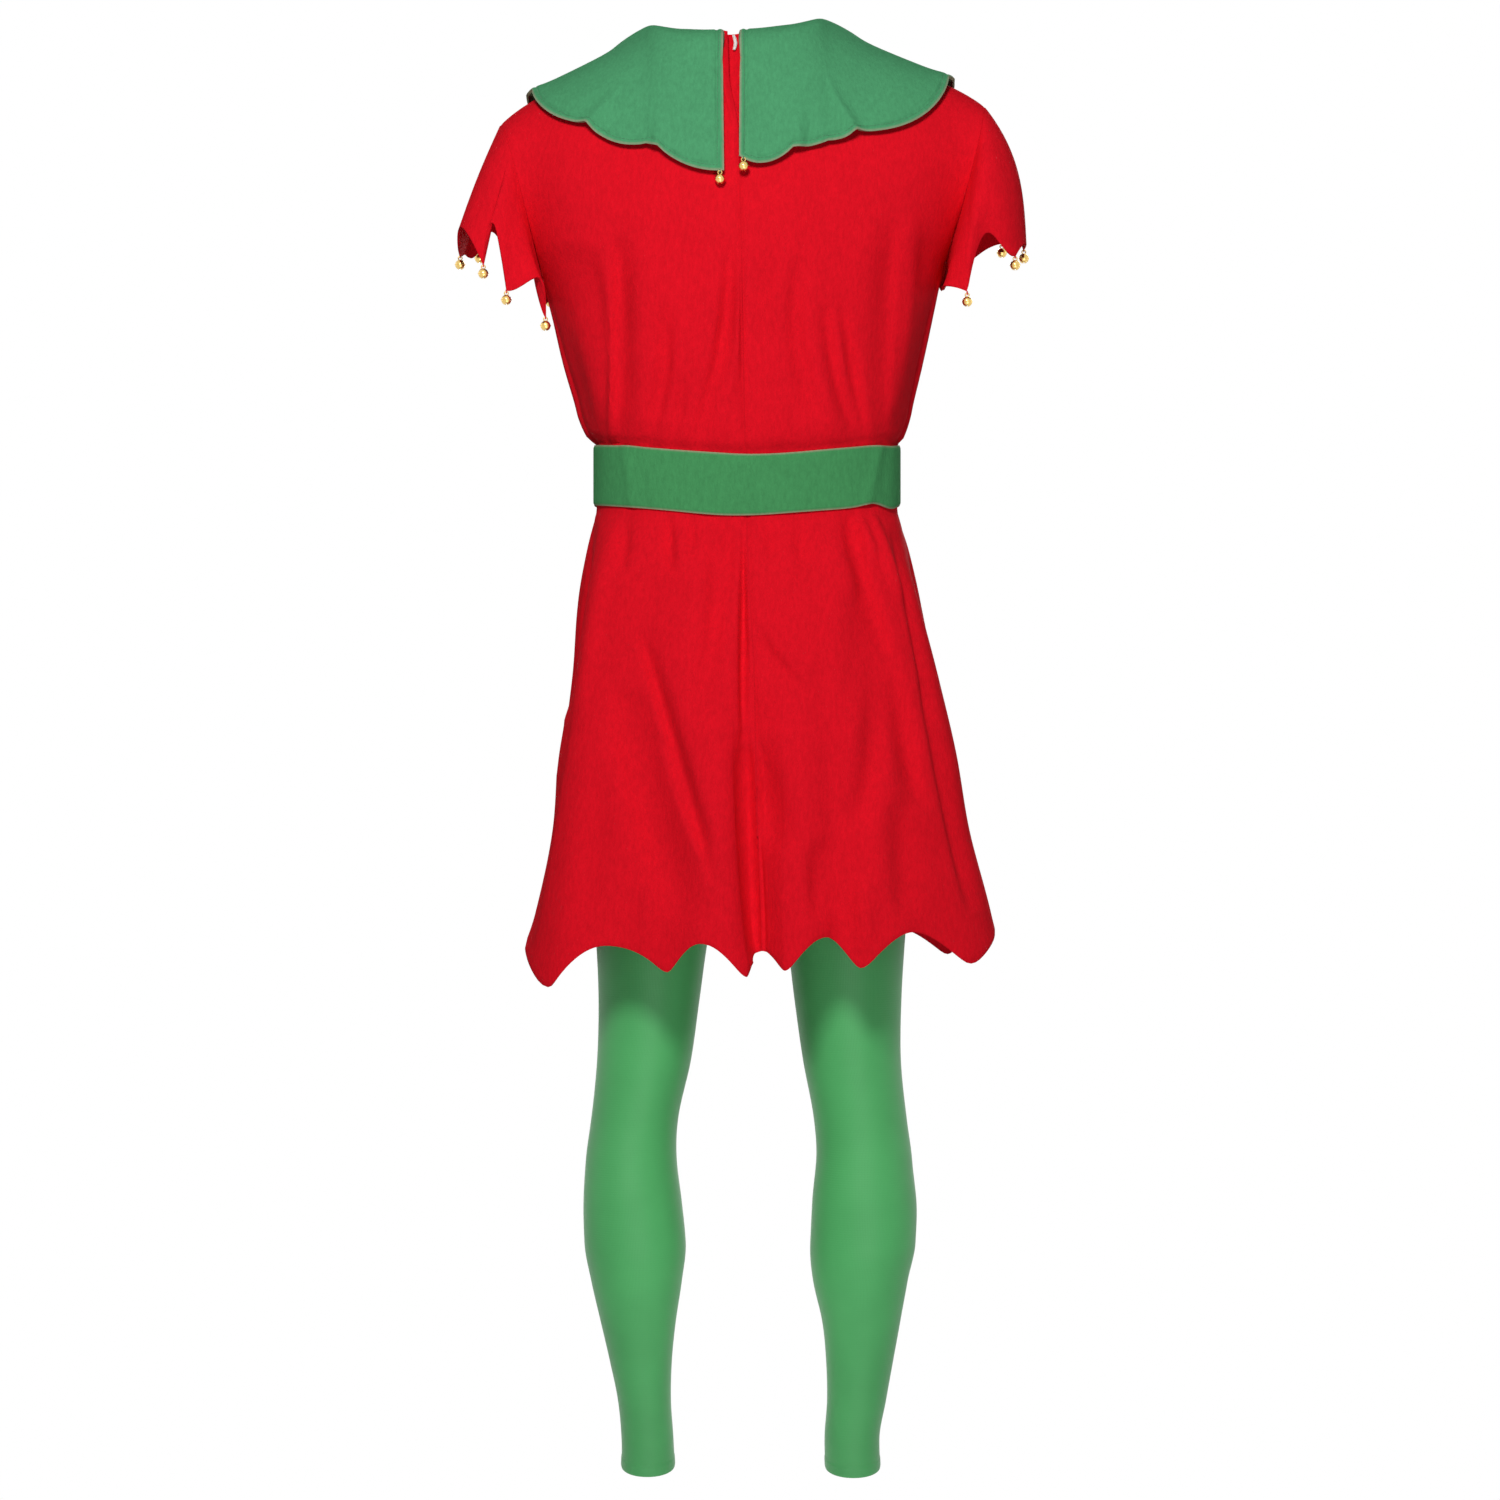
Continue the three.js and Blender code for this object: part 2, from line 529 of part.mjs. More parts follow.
// Tunic panels. Edges are drawn in by half a seam gap.
const EDGE = SEAM / 2 / 85;
const TOP = 0.012;
const FINE = [0.34, 0.7];
const FRONT = [0.5];
const rowsDown = [TOP, ...steps(1, TUNIC_ROWS, TUNIC_ROWS - 1)];
add(
  "tunic_back_left",
  clothWall((q, v) => backPoint(q, v, "left"), toothColumns(-HALF + EDGE, -EDGE, FINE), rowsDown, WALL.tunic),
  "redFelt",
);
add(
  "tunic_back_right",
  clothWall((q, v) => backPoint(q, v, "right"), toothColumns(EDGE, HALF - EDGE, FINE), rowsDown, WALL.tunic),
  "redFelt",
);
add(
  "tunic_front",
  clothWall(tunicPoint, toothColumns(HALF + EDGE, 3 * HALF - EDGE, FRONT), rowsDown, WALL.tunic),
  "redFelt",
);

// A point of the armhole's edge: u is 0 at the shoulder, a quarter at the back and a half under the arm.
// The edge is straight between the rows of the tunic's mesh.
const armholeSeam = (side, u, inset = 0) => {
  const round = wrap(u, 1);
  const [back, t] = [round <= 0.5, round <= 0.5 ? 2 * round : 2 * (1 - round)];
  const q = (side === "left" ? -1 : 1) * (HALF + (back ? -1e-6 - inset : 1e-6 + inset));
  const i = clamp(YOKE_ROWS.findIndex((row) => row >= t - 1e-9), 1, YOKE_ROWS.length - 1);
  const share = (t - YOKE_ROWS[i - 1]) / (YOKE_ROWS[i] - YOKE_ROWS[i - 1]);
  return yoke(q, YOKE_ROWS[i - 1]).lerp(yoke(q, YOKE_ROWS[i]), share);
};

// 0 over the shoulder to 1 under the arm, where the sleeve hangs outside the side of the tunic.
const lowness = (u) => smooth(0.22, 0.4, Math.min(wrap(u, 1), 1 - wrap(u, 1)));

// The tunic's outward direction at its armhole.
function armholeNormal(side, u) {
  const along = armholeSeam(side, u + 0.004).sub(armholeSeam(side, u - 0.004));
  const away = armholeSeam(side, u).sub(armholeSeam(side, u, 0.02));
  const normal = along.cross(away).normalize();
  const outside = new THREE.Vector3(side === "left" ? -1 : 1, -1.5 * Math.sin(2 * Math.PI * u), 0.6);
  return normal.dot(outside) < 0 ? normal.negate() : normal;
}

// A point of a sleeve's outer side, v of the way from the armhole to the pointed cuff.
function sleevePoint(side, u, v) {
  const cuff = CUFFS[side];
  const angle = 2 * Math.PI * u;
  const sign = side === "left" ? -1 : 1;
  const under = Math.max(0, -Math.cos(angle)) ** 2;
  const seam = armholeSeam(side, u);
  const around = Math.sin(angle);
  const ring = new THREE.Vector3(...cuff.middle)
    .addScaledVector(new THREE.Vector3(...cuff.outer), Math.cos(angle))
    .add(new THREE.Vector3(0, -cuff.depth * Math.sign(around) * Math.abs(around) ** 0.45, 0));
  const degrees = wrap(u, 1) * 360;
  const k = cuff.points.findLastIndex((p) => p.at <= degrees + 1e-6);
  const [before, after] = [cuff.points[k], cuff.points[(k + 1) % cuff.points.length]];
  const t = (degrees - before.at) / (wrap(after.at - before.at, 360));
  const leaning = clamp(t, 0, 1) ** before.lean;
  const up = Math.sin(Math.PI * leaning) ** 0.85;
  ring.z -= lerp(leaning < 0.5 ? before.drop : after.drop, -before.rise, up);
  ring.x -= sign * cuff.hug * smooth(95, 148, degrees) * smooth(265, 212, degrees) * (1 - 0.7 * under ** 4);
  const swell = new THREE.Vector3(sign * Math.cos(angle), -1.3 * Math.sin(angle), 0.4 * Math.cos(angle));
  const point = seam.clone().lerp(ring, v);
  point.addScaledVector(swell, cuff.swell * Math.sin(Math.PI * v ** 0.9) * (1 - under));
  const low = lowness(u);
  point.x += sign * low * 4 * Math.sin(Math.PI * clamp(v, 0, 1)) ** 0.7;
  const leave = seam.clone().sub(armholeSeam(side, u, 0.05)).normalize();
  point.addScaledVector(leave, 1.2 * SEAM * (1 - low) * (1 - v));
  point.addScaledVector(armholeNormal(side, u), 3 * SEAM * low * (1 - v));
  point.x += sign * 1.8 * Math.sqrt(low) * (1 - v);
  return point;
}

// Columns of a sleeve: its points and arches, the rows of the armhole, and one between where there is room.
function sleeveColumns(side) {
  const columns = [];
  for (const row of YOKE_ROWS) columns.push(row / 2, 1 - row / 2);
  const { points } = CUFFS[side];
  const ends = points.map((p, k) => [p.at, k + 1 < points.length ? points[k + 1].at : 360]);
  for (const share of [0, 0.5, 0.24, 0.76])
    for (const [from, to] of ends) {
      const u = lerp(from, to, share) / 360;
      if (share % 0.5 === 0 || columns.every((c) => Math.abs(c - u) > 0.014)) columns.push(u);
    }
  columns.sort((a, b) => a - b);
  return columns.filter((u, i) => i === 0 || u - columns[i - 1] > 1e-6);
}
const SLEEVE_ROWS = [0, 0.16, 0.38, 0.62, 0.84, 1];
const bellPlaces = [];
for (const side of ["left", "right"]) {
  const seamNormal = (u, v, own) => {
    const share = (1 - lowness(u)) * (1 - clamp(v / SLEEVE_ROWS[1], 0, 1));
    return own.clone().lerp(armholeNormal(side, u), share).normalize();
  };
  const surface = (u, v) => sleevePoint(side, u, v);
  const turn = side === "left" ? 1 : -1;
  const form = { turn, ringFrom: 0, inward: seamNormal };
  const wall = clothWall(surface, sleeveColumns(side), SLEEVE_ROWS, WALL.tunic, form);
  add("sleeve_" + side, wall, "redFelt");
  CUFFS[side].points.forEach(({ at: degrees, inward = 0 }, k) => {
    const normal = outward(surface, degrees / 360, 1, turn, { q: [-1, 2], v: [0, 1] });
    const tip = surface(degrees / 360, 1).addScaledVector(normal, -WALL.tunic / 2 - inward);
    bellPlaces.push({ name: "bell_sleeve_" + side + "_" + (k + 1), tip, thread: 3.2 * SEAM });
  });
}

// A point of the collar's outer side: degrees round from the centre back, k of the way from neck to edge.
// It is a point of the tunic under it, moved out.
function collarPoint(degrees, k) {
  const round = clamp(degrees, 0, 360);
  const quarter = round <= 90 ? round : round <= 270 ? Math.abs(180 - round) : 360 - round;
  const front = round > 90 && round < 270;
  const i = clamp(COLLAR_CORNERS.findIndex((corner) => corner.at >= round), 1, COLLAR_CORNERS.length - 1);
  const [a, b] = [COLLAR_CORNERS[i - 1], COLLAR_CORNERS[i]];
  const t = (round - a.at) / (b.at - a.at);
  const far = 1 - a.notch * (1 - t) ** 3 - b.notch * t ** 3;
  const turn = quarter * rad;
  const start = (NECK_TEETH / HALF) * (quarter / 90);
  const s = lerp(start, COLLAR.side * Math.sin(turn), k) * lerp(1, far, k);
  const reach = front ? COLLAR.frontReach : COLLAR.backReach;
  const onRight = round < 180;
  const part = front ? "front" : onRight ? "right" : "left";
  const droop = Math.max(0, Math.cos(turn)) ** COLLAR.round[part] + COLLAR.droop[part] * Math.sin(2 * turn) ** 2;
  const depth = reach * droop * k * lerp(1, far, k);
  const q = front ? 2 * HALF + (onRight ? -1 : 1) * s * HALF : (onRight ? 1 : -1) * s * HALF;
  const shift = 0.004;
  const under = (dq, dt) => yoke(q + dq, clamp(depth + dt, 1e-4, 1));
  const down = under(0, shift).sub(under(0, -shift));
  const across = under(shift, 0).sub(under(-shift, 0));
  const normal = down.cross(across).normalize();
  const roll = COLLAR.roll * Math.sin(Math.PI * clamp(k / 0.34, 0, 1)) ** 1.2;
  const nearTo = ({ at: place, notch }) => notch * Math.exp(-(((round - place) / 4) ** 2));
  const corner = nearTo(a) + nearTo(b);
  const loose = COLLAR.gap + COLLAR.frontGap * Math.max(0, -Math.cos(round * rad)) ** 0.4;
  const rest = WALL.collar + lerp(COLLAR.seamGap, loose, smooth(-0.09, 0.06, k));
  const lift = rest + COLLAR.flare * k * k + 60 * corner * k ** 3 + roll;
  const point = under(0, 0).addScaledVector(normal, lift);
  const edge = onRight ? COLLAR.splitRight : COLLAR.splitLeft;
  point.x += lerp(edge[0], edge[1], k) * (1 - smooth(0, 45, front ? 90 : quarter));
  return point;
}
const COLLAR_ROWS = [0, 0.08, 0.17, 0.3, 0.48, 0.68, 0.85, 1];
const collarEnds = [0.3, 359.7];
const collarColumns = steps(collarEnds[0], collarEnds[1], 54);
add("collar", clothWall(collarPoint, collarColumns, COLLAR_ROWS, WALL.collar), "greenFelt");
for (const [i, side] of ["right", "left"].entries()) {
  const degrees = collarEnds[i] + (i === 0 ? 1.2 : -1.2);
  const tip = collarPoint(degrees, 1).add(new THREE.Vector3(0, WALL.collar / 2, 0));
  bellPlaces.push({ name: "bell_collar_" + side, tip, thread: side === "left" ? 0.25 : -0.3 });
}

// Closure tab in the neck slit, on the right back panel: its rows on the panel, its sides in teeth round from
// the centre back, and its thickness.
const TAB = { rows: [0.25, 1.35], sides: [0.126, 0.160], thick: 1 };
const tabPoint = (q, v) => {
  const edge = Math.max(q, EDGE);
  const point = backPoint(edge, v, "right");
  const normal = outward((a, b) => backPoint(a, b, "right"), edge, v, 1, { q: [EDGE, HALF], v: [TOP, 3] });
  return point.addScaledVector(normal, TAB.thick + SEAM);
};
const [tabColumns, tabRows] = [steps(...TAB.sides, 2), steps(...TAB.rows, 2)];
add("closure_tab", clothWall(tabPoint, tabColumns, tabRows, TAB.thick), "whiteTape");

// The tunic's columns as degrees round from the back, so what lies on it follows its mesh.
const tunicColumns = [
  ...toothColumns(-HALF, HALF, FINE),
  ...toothColumns(HALF, 3 * HALF, FRONT).slice(1, -1),
].map((q) => (q * 90) / HALF);
const columnsBetween = (from, to) => {
  const turns = [-360, 0, 360, 720].flatMap((turn) => tunicColumns.map((angle) => angle + turn));
  const inside = turns.filter((angle) => angle > from + 0.5 && angle < to - 0.5).sort((a, b) => a - b);
  return [from, ...inside, to];
};

// Belt: a strip round the waist over the tunic, its ends lapped at the front.
const beltEnd = BELT.start + 360 + BELT.lap;
const beltPoint = (degrees, v) => {
  const z = BELT.middle + BELT.height * (0.5 - v);
  const second = smooth(BELT.start + 360 - BELT.ramp, BELT.start + 360, degrees);
  return besideWaist(degrees * rad, z, SEAM + WALL.belt + second * (WALL.belt + SEAM));
};
add("belt", clothWall(beltPoint, columnsBetween(BELT.start, beltEnd), [0, 1], WALL.belt), "greenFelt");

// Leggings: a waistband under the tunic's waist, and a left and a right half joined between the legs.
const bandPoint = (degrees, v) => besideWaist(degrees * rad, BAND.top - v * BAND.height, -WALL.tunic - SEAM);
const bandWall = clothWall(bandPoint, columnsBetween(0, 360), [0, 1], WALL.waistband, { ringFrom: 0 });
add("legging_waistband", bandWall, "greenKnit");

const LEG_LEVELS = [BAND.top - BAND.height - SEAM, -480, -530, -600, -655, -695, CROTCH.z];
const CROTCH_ROW = LEG_LEVELS.length - 1;
LEG_LEVELS.push(-775, -840, -910, -975, -1040, -1090, -1130, -1170, -1210, -1250, -1300, -1350, -1390, -1418);
function legPoint(side, u, v) {
  const sign = side === "left" ? -1 : 1;
  const levels = [...LEG_LEVELS, ANKLE[side]];
  const i = clamp(Math.floor(v), 0, levels.length - 2);
  let z = lerp(levels[i], levels[i + 1], v - i);
  const round = wrap(u, 1) || (u > 0.5 ? 1 : 0);
  const angle = 2 * Math.PI * round;
  const body = (column) => at(HIPS, column, z);
  const bodyAngle = Math.PI * (1 - sign * round);
  const reach = ovalRadius(bodyAngle, body("half"), body("back"), body("front"), 2.5);
  const middle = body("x") + (sign * SEAM) / 2;
  const onBody = new THREE.Vector3(middle + reach * Math.sin(bodyAngle), -reach * Math.cos(bodyAngle), 0);
  const leg = (column) => at(LEGS[side], column, z);
  const round2 = 2 / 2.1;
  const power = (x) => Math.sign(x) * Math.abs(x) ** round2;
  const onLeg = new THREE.Vector3(
    leg("x") - sign * leg("half") * power(Math.cos(angle)),
    leg("y") + leg("depth") * power(Math.sin(angle)),
    0,
  );
  const share = clamp((CROTCH.hip - z) / (CROTCH.hip - CROTCH.z), 0, 1) ** 2.2;
  const point = onBody.lerp(onLeg, share);
  if (z > CROTCH.z - 1) point.x = sign * Math.max(sign * point.x, sign * middle);
  const bodyDip = waistDip(bodyAngle, z);
  const ankleDip = smooth(ANKLE.right + 60, ANKLE.right, z) * ANKLE.backDip * Math.sin(angle);
  point.z = z + bodyDip + ankleDip;
  return point;
}
for (const side of ["left", "right"]) {
  const last = LEG_LEVELS.length;
  const thick = (u, v) => WALL.legging + ANKLE.hemThick * smooth(last - 0.6, last - 0.1, v);
  const [columns, rows] = [steps(0, 1, 20), steps(0, last, last)];
  const surface = (u, v) => legPoint(side, u, v);
  const turn = side === "left" ? 1 : -1;
  const wall = clothWall(surface, columns, rows, thick, { turn, ringFrom: CROTCH_ROW });
  add("legging_" + side, wall, "greenKnit");
}

// Bells: a round body with a ridge round its middle, a wire loop above, and a cross of slots below.
const toGeometry = (solid) => {
  const mesh = solid.getMesh();
  const geometry = new THREE.BufferGeometry();
  geometry.setAttribute("position", new THREE.Float32BufferAttribute(mesh.vertProperties, 3));
  return geometry.setIndex(Array.from(mesh.triVerts));
};
function bellSolid() {
  const { radius, ridge, loop, wire, slot, slotDepth, sides } = BELL;
  const profile = [];
  for (const a of [-90, -45, 45, 90]) profile.push([radius * Math.cos(a * rad), radius * Math.sin(a * rad)]);
  profile[0][0] = 0;
  profile[3][0] = 0;
  profile.splice(2, 0, [radius, -0.5], [radius + ridge, 0], [radius, 0.5]);
  const { Manifold } = wasm;
  const body = Manifold.revolve([profile], sides);
  const circle = [];
  for (let a = 0; a < 360; a += 120) circle.push([loop + wire * Math.cos(a * rad), wire * Math.sin(a * rad)]);
  const ring = Manifold.revolve([circle], 6).rotate([90, 0, 0]).translate([0, 0, radius + loop * 0.75]);
  const cut = (x, y) => Manifold.cube([x, y, slotDepth * 2], true).translate([0, 0, -radius]);
  return body.add(ring).subtract(cut(radius * 1.3, slot)).subtract(cut(slot, radius * 1.3));
}
const bell = bellSolid();
const bellTop = bell.boundingBox().max[2];
for (const { name, tip, thread } of bellPlaces)
  add(name, toGeometry(bell.translate([tip.x, tip.y, tip.z - thread - bellTop])), "brass");

export default costume;
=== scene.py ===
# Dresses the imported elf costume: felt tunic, sleeves, collar and belt, knit leggings and sewn-on bells.
# Metres. +Z is up, +X is the wearer's right and the back faces -Y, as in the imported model.
import math

import bmesh
import bpy
import numpy as np
from bpy.props import FloatProperty, FloatVectorProperty, IntProperty, PointerProperty
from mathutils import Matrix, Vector


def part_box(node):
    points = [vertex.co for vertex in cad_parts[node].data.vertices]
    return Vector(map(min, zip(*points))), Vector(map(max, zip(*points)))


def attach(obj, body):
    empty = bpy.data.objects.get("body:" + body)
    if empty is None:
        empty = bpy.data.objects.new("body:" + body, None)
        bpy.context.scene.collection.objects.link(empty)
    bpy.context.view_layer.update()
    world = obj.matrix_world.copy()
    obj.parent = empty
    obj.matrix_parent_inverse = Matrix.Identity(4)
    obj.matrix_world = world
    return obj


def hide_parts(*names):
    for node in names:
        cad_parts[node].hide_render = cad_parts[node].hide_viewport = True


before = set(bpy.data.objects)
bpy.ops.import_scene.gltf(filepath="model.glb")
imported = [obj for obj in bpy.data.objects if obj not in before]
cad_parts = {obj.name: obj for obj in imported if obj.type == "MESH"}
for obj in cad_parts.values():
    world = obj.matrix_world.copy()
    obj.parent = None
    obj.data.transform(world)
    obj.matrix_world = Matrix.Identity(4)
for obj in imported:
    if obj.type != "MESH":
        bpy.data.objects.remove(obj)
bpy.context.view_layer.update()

bl_info = {
    "name": "Elf costume finish",
    "version": (1, 0, 0),
    "blender": (4, 5, 0),
    "location": "View3D > Sidebar > Costume",
    "description": "Makes the cloth, stitching, bells and studio of a felt elf costume",
    "category": "Object",
}


class Table:
    """Rows of numbers under named columns. Each column reads as an array."""

    def __init__(self, columns, *rows):
        self.columns = {name: np.array(values, float) for name, values in zip(columns.split(), zip(*rows))}

    def __getitem__(self, column):
        return self.columns[column]

    def rows(self):
        names = list(self.columns)
        for values in zip(*self.columns.values()):
            yield dict(zip(names, values))

    def at(self, column, z):
        """The column's value at height z, on a smooth curve through rows that go down."""
        zs, values = self["z"], self[column]
        z = np.clip(z, zs[-1], zs[0])
        after = np.clip(np.searchsorted(-zs, -z), 1, len(zs) - 1)
        before = after - 1
        first, last = np.maximum(before - 1, 0), np.minimum(after + 1, len(zs) - 1)
        span = zs[before] - zs[after]

        def slope(a, b, c):
            steady = (values[b] - values[a]) * (values[c] - values[b]) > 0
            return np.where(steady, (values[c] - values[a]) / (zs[a] - zs[c]), 0.0) * span

        t = (zs[before] - z) / span
        ends = (2 * t**3 - 3 * t**2 + 1) * values[before] + (3 * t**2 - 2 * t**3) * values[after]
        leaving = (t**3 - 2 * t**2 + t) * slope(first, before, after)
        return ends + leaving + (t**3 - t**2) * slope(before, after, last)


# Sizes of the cut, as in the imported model.
WALL = {"tunic": 0.002, "collar": 0.003, "belt": 0.003, "waistband": 0.002, "legging": 0.001}
SEAM = 0.0003
NECK = {"x": -0.006, "half": 0.086, "back": 0.064, "front": 0.078, "back_drop": 0.013, "front_drop": 0.074,
        "tilt": 0.0035, "rise": -0.004}
SHOULDER = {
    "left": {"x": -0.242, "z": -0.098, "curve": 1.3},
    "right": {"x": 0.242, "z": -0.080, "curve": 2.0},
    "sag": 0.004,
}
ARMHOLE = {"level": -0.2435, "tilt": 0.0115, "bulge": 0.060}
BELT = {"height": 0.060, "middle": -0.446, "back_dip": 0.015, "start": 172, "lap": 18, "ramp": 14}
TEETH = 14
TIP_ROUND = 0.16
HALF = TEETH / 4
NECK_SHARE = 1.5 / HALF
SLIT = {"depth": 0.128, "left": -0.008, "right": -0.019, "sink": 0.005}
BAND = {"height": 0.030, "top": -0.422}
CROTCH = {"z": -0.735, "hip": -0.590}
LOWEST = -0.850
ANKLE = {"left": -1.436, "right": -1.437, "back_dip": 0.006}

# The tunic's level sections: height, middle, half width, depth behind and in front, and how square it is.
TUNIC = Table(
    "z x half back front square",
    (-0.200, 0.0000, 0.2080, 0.110, 0.122, 2.30),
    (-0.255, 0.0000, 0.1980, 0.111, 0.124, 2.35),
    (-0.295, 0.0010, 0.1880, 0.110, 0.122, 2.40),
    (-0.330, 0.0015, 0.1790, 0.108, 0.119, 2.45),
    (-0.370, 0.0025, 0.1680, 0.104, 0.114, 2.50),
    (-0.407, 0.0035, 0.1585, 0.101, 0.111, 2.50),
    (-0.416, 0.0050, 0.1502, 0.095, 0.104, 2.50),
    (-0.480, 0.0050, 0.1502, 0.095, 0.104, 2.50),
    (-0.493, 0.0050, 0.1535, 0.099, 0.108, 2.50),
    (-0.520, 0.0060, 0.1610, 0.109, 0.117, 2.50),
    (-0.580, 0.0080, 0.1720, 0.124, 0.127, 2.50),
    (-0.640, 0.0110, 0.1820, 0.135, 0.134, 2.50),
    (-0.720, 0.0120, 0.1980, 0.145, 0.144, 2.50),
    (-0.800, 0.0135, 0.2090, 0.152, 0.151, 2.45),
    (-0.880, 0.0160, 0.2260, 0.158, 0.157, 2.40),
    (-0.960, 0.0170, 0.2400, 0.163, 0.161, 2.40),
)

# The hem's points: degrees round from the back and height of each arch, and of the tip after it.
HEM = Table(
    "arch_at arch tip_at tip",
    (1, -0.914, 8.5, -0.932),
    (23, -0.900, 33, -0.930),
    (48, -0.896, 63, -0.928),
    (83, -0.898, 99, -0.915),
    (110, -0.902, 121, -0.930),
    (132, -0.904, 143, -0.934),
    (154, -0.905, 165, -0.937),
    (176, -0.903, 187, -0.932),
    (198, -0.906, 208, -0.936),
    (218, -0.905, 228, -0.940),
    (236, -0.904, 244, -0.941),
    (275, -0.904, 301, -0.950),
    (313, -0.909, 329, -0.934),
    (341, -0.906, 356, -0.938),
)

# Folds of the skirt: where they start and end and their half width, in teeth round from the back, and how
# far they stand out over the hips and at the foot.
SKIRT_FOLDS = Table(
    "belt hem width hips foot",
    (0.00, 0.00, 0.42, -0.003, -0.024),
    (0.55, 0.50, 0.40, 0.003, 0.007),
    (1.30, 1.38, 0.32, -0.001, -0.009),
    (1.75, 1.85, 0.40, 0.003, 0.009),
    (2.15, 2.20, 0.30, -0.003, -0.008),
    (2.50, 2.72, 0.42, 0.009, 0.013),
    (3.15, 3.30, 0.35, -0.003, -0.007),
    (4.20, 4.40, 0.45, 0.006, 0.012),
    (4.90, 5.00, 0.40, -0.002, -0.010),
    (5.60, 5.60, 0.45, 0.004, 0.011),
    (6.40, 6.30, 0.40, -0.001, -0.009),
    (7.10, 7.10, 0.50, 0.004, 0.010),
    (7.80, 7.90, 0.40, -0.002, -0.010),
    (8.60, 8.70, 0.50, 0.005, 0.012),
    (9.40, 9.40, 0.35, -0.002, -0.009),
    (10.00, 10.00, 0.40, 0.006, 0.008),
    (10.70, 10.90, 0.35, -0.003, -0.009),
    (11.50, 11.50, 0.45, 0.009, 0.018),
    (12.30, 12.45, 0.45, -0.002, -0.009),
    (12.90, 13.00, 0.35, 0.003, 0.008),
    (13.45, 13.50, 0.30, 0.002, 0.005),
)

# Folds above the belt, measured the same way, and how high above the belt they reach.
BODICE_FOLDS = Table(
    "belt top width out reach",
    (0.75, 0.60, 0.30, 0.0035, 0.110),
    (1.55, 1.30, 0.30, 0.0045, 0.150),
    (2.50, 2.60, 0.32, 0.0080, 0.230),
    (3.30, 3.20, 0.30, 0.0040, 0.170),
    (4.30, 4.20, 0.35, 0.0060, 0.180),
    (5.40, 5.60, 0.35, 0.0050, 0.150),
    (6.50, 6.60, 0.35, 0.0040, 0.120),
    (7.60, 7.50, 0.35, 0.0040, 0.130),
    (8.60, 8.40, 0.35, 0.0050, 0.160),
    (9.60, 9.60, 0.35, 0.0060, 0.180),
    (10.60, 10.60, 0.30, 0.0040, 0.170),
    (11.50, 11.45, 0.30, 0.0080, 0.230),
    (12.20, 12.30, 0.30, 0.0045, 0.170),
    (12.75, 12.90, 0.28, 0.0035, 0.140),
    (13.50, 13.30, 0.30, 0.0040, 0.160),
)

# The cuffs: the middle of each ring, its outermost point from there, its half depth, how far it hugs the
# side of the bodice, how far the sleeve swells, and its points. A point has its place in degrees round from
# the shoulder, its drop below the ring, the rise of the arch after it, and how far that arch leans.
CUFFS = {
    "left": {
        "middle": (-0.244, 0.002, -0.241),
        "outer": (-0.039, 0.0, 0.037),
        "depth": 0.076,
        "hug": 0.022,
        "swell": 0.002,
        "points": Table(
            "at drop rise lean",
            (0, 0.0210, 0.006, 1.0),
            (74, 0.0120, 0.038, 1.0),
            (106, 0.0175, 0.012, 1.7),
            (150, 0.0190, 0.006, 1.0),
            (208, -0.0180, 0.022, 1.0),
            (255, -0.0200, 0.040, 1.0),
            (308, -0.0080, -0.012, 1.0),
        ),
    },
    "right": {
        "middle": (0.243, 0.002, -0.228),
        "outer": (0.040, 0.0, 0.029),
        "depth": 0.074,
        "hug": 0.013,
        "swell": 0.012,
        "points": Table(
            "at drop rise lean",
            (0, 0.020, -0.018, 1.0),
            (48, 0.025, 0.018, 2.0),
            (115, 0.030, -0.008, 1.0),
            (203, -0.018, 0.024, 1.0),
            (240, -0.010, 0.014, 1.0),
            (303, -0.007, 0.008, 1.0),
            (324, -0.004, 0.004, 1.0),
        ),
    },
}

# The collar: how far it reaches, how it curves and droops at each part, how far it stands off the tunic,
# and where its two ends part at the centre back.
COLLAR = {"side": 0.9, "back_reach": 0.71, "front_reach": 0.6, "roll": 0.005,
          "round_front": 0.6, "round_left": 0.84, "round_right": 0.68,
          "droop_front": 0.12, "droop_left": 0.09, "droop_right": 0.11,
          "seam_gap": 0.0008, "gap": 0.0039, "front_gap": 0.005, "flare": 0.003,
          "split_left": (-0.012, -0.014), "split_right": (0.004, -0.001)}
# The notches between its scallops: degrees round from the centre back, and depth as a share of its width.
COLLAR_CORNERS = Table(
    "at notch",
    (0, 0.07),
    (16, 0.04),
    (39, 0.05),
    (82, 0.04),
    (118, 0.06),
    (150, 0.06),
    (180, 0.05),
    (210, 0.06),
    (242, 0.06),
    (278, 0.04),
    (309, 0.05),
    (337, 0.03),
    (360, 0.00),
)
# Small pinches at the notches: degrees round, half width, height, how far they run up as a share of the
# collar's depth, and how many degrees they lean over their length.
COLLAR_PINCHES = Table(
    "at width out reach lean",
    (310.5, 1.7, 0.0026, 0.34, 8.0),
    (306.0, 2.4, -0.0015, 0.28, 8.0),
    (38.0, 1.7, 0.0028, 0.40, -7.0),
    (42.0, 2.6, -0.0016, 0.30, -7.0),
    (17.5, 2.0, 0.0022, 0.26, 10.0),
    (21.5, 2.4, -0.0014, 0.22, 10.0),
    (336.0, 2.4, 0.0014, 0.20, 2.0),
)

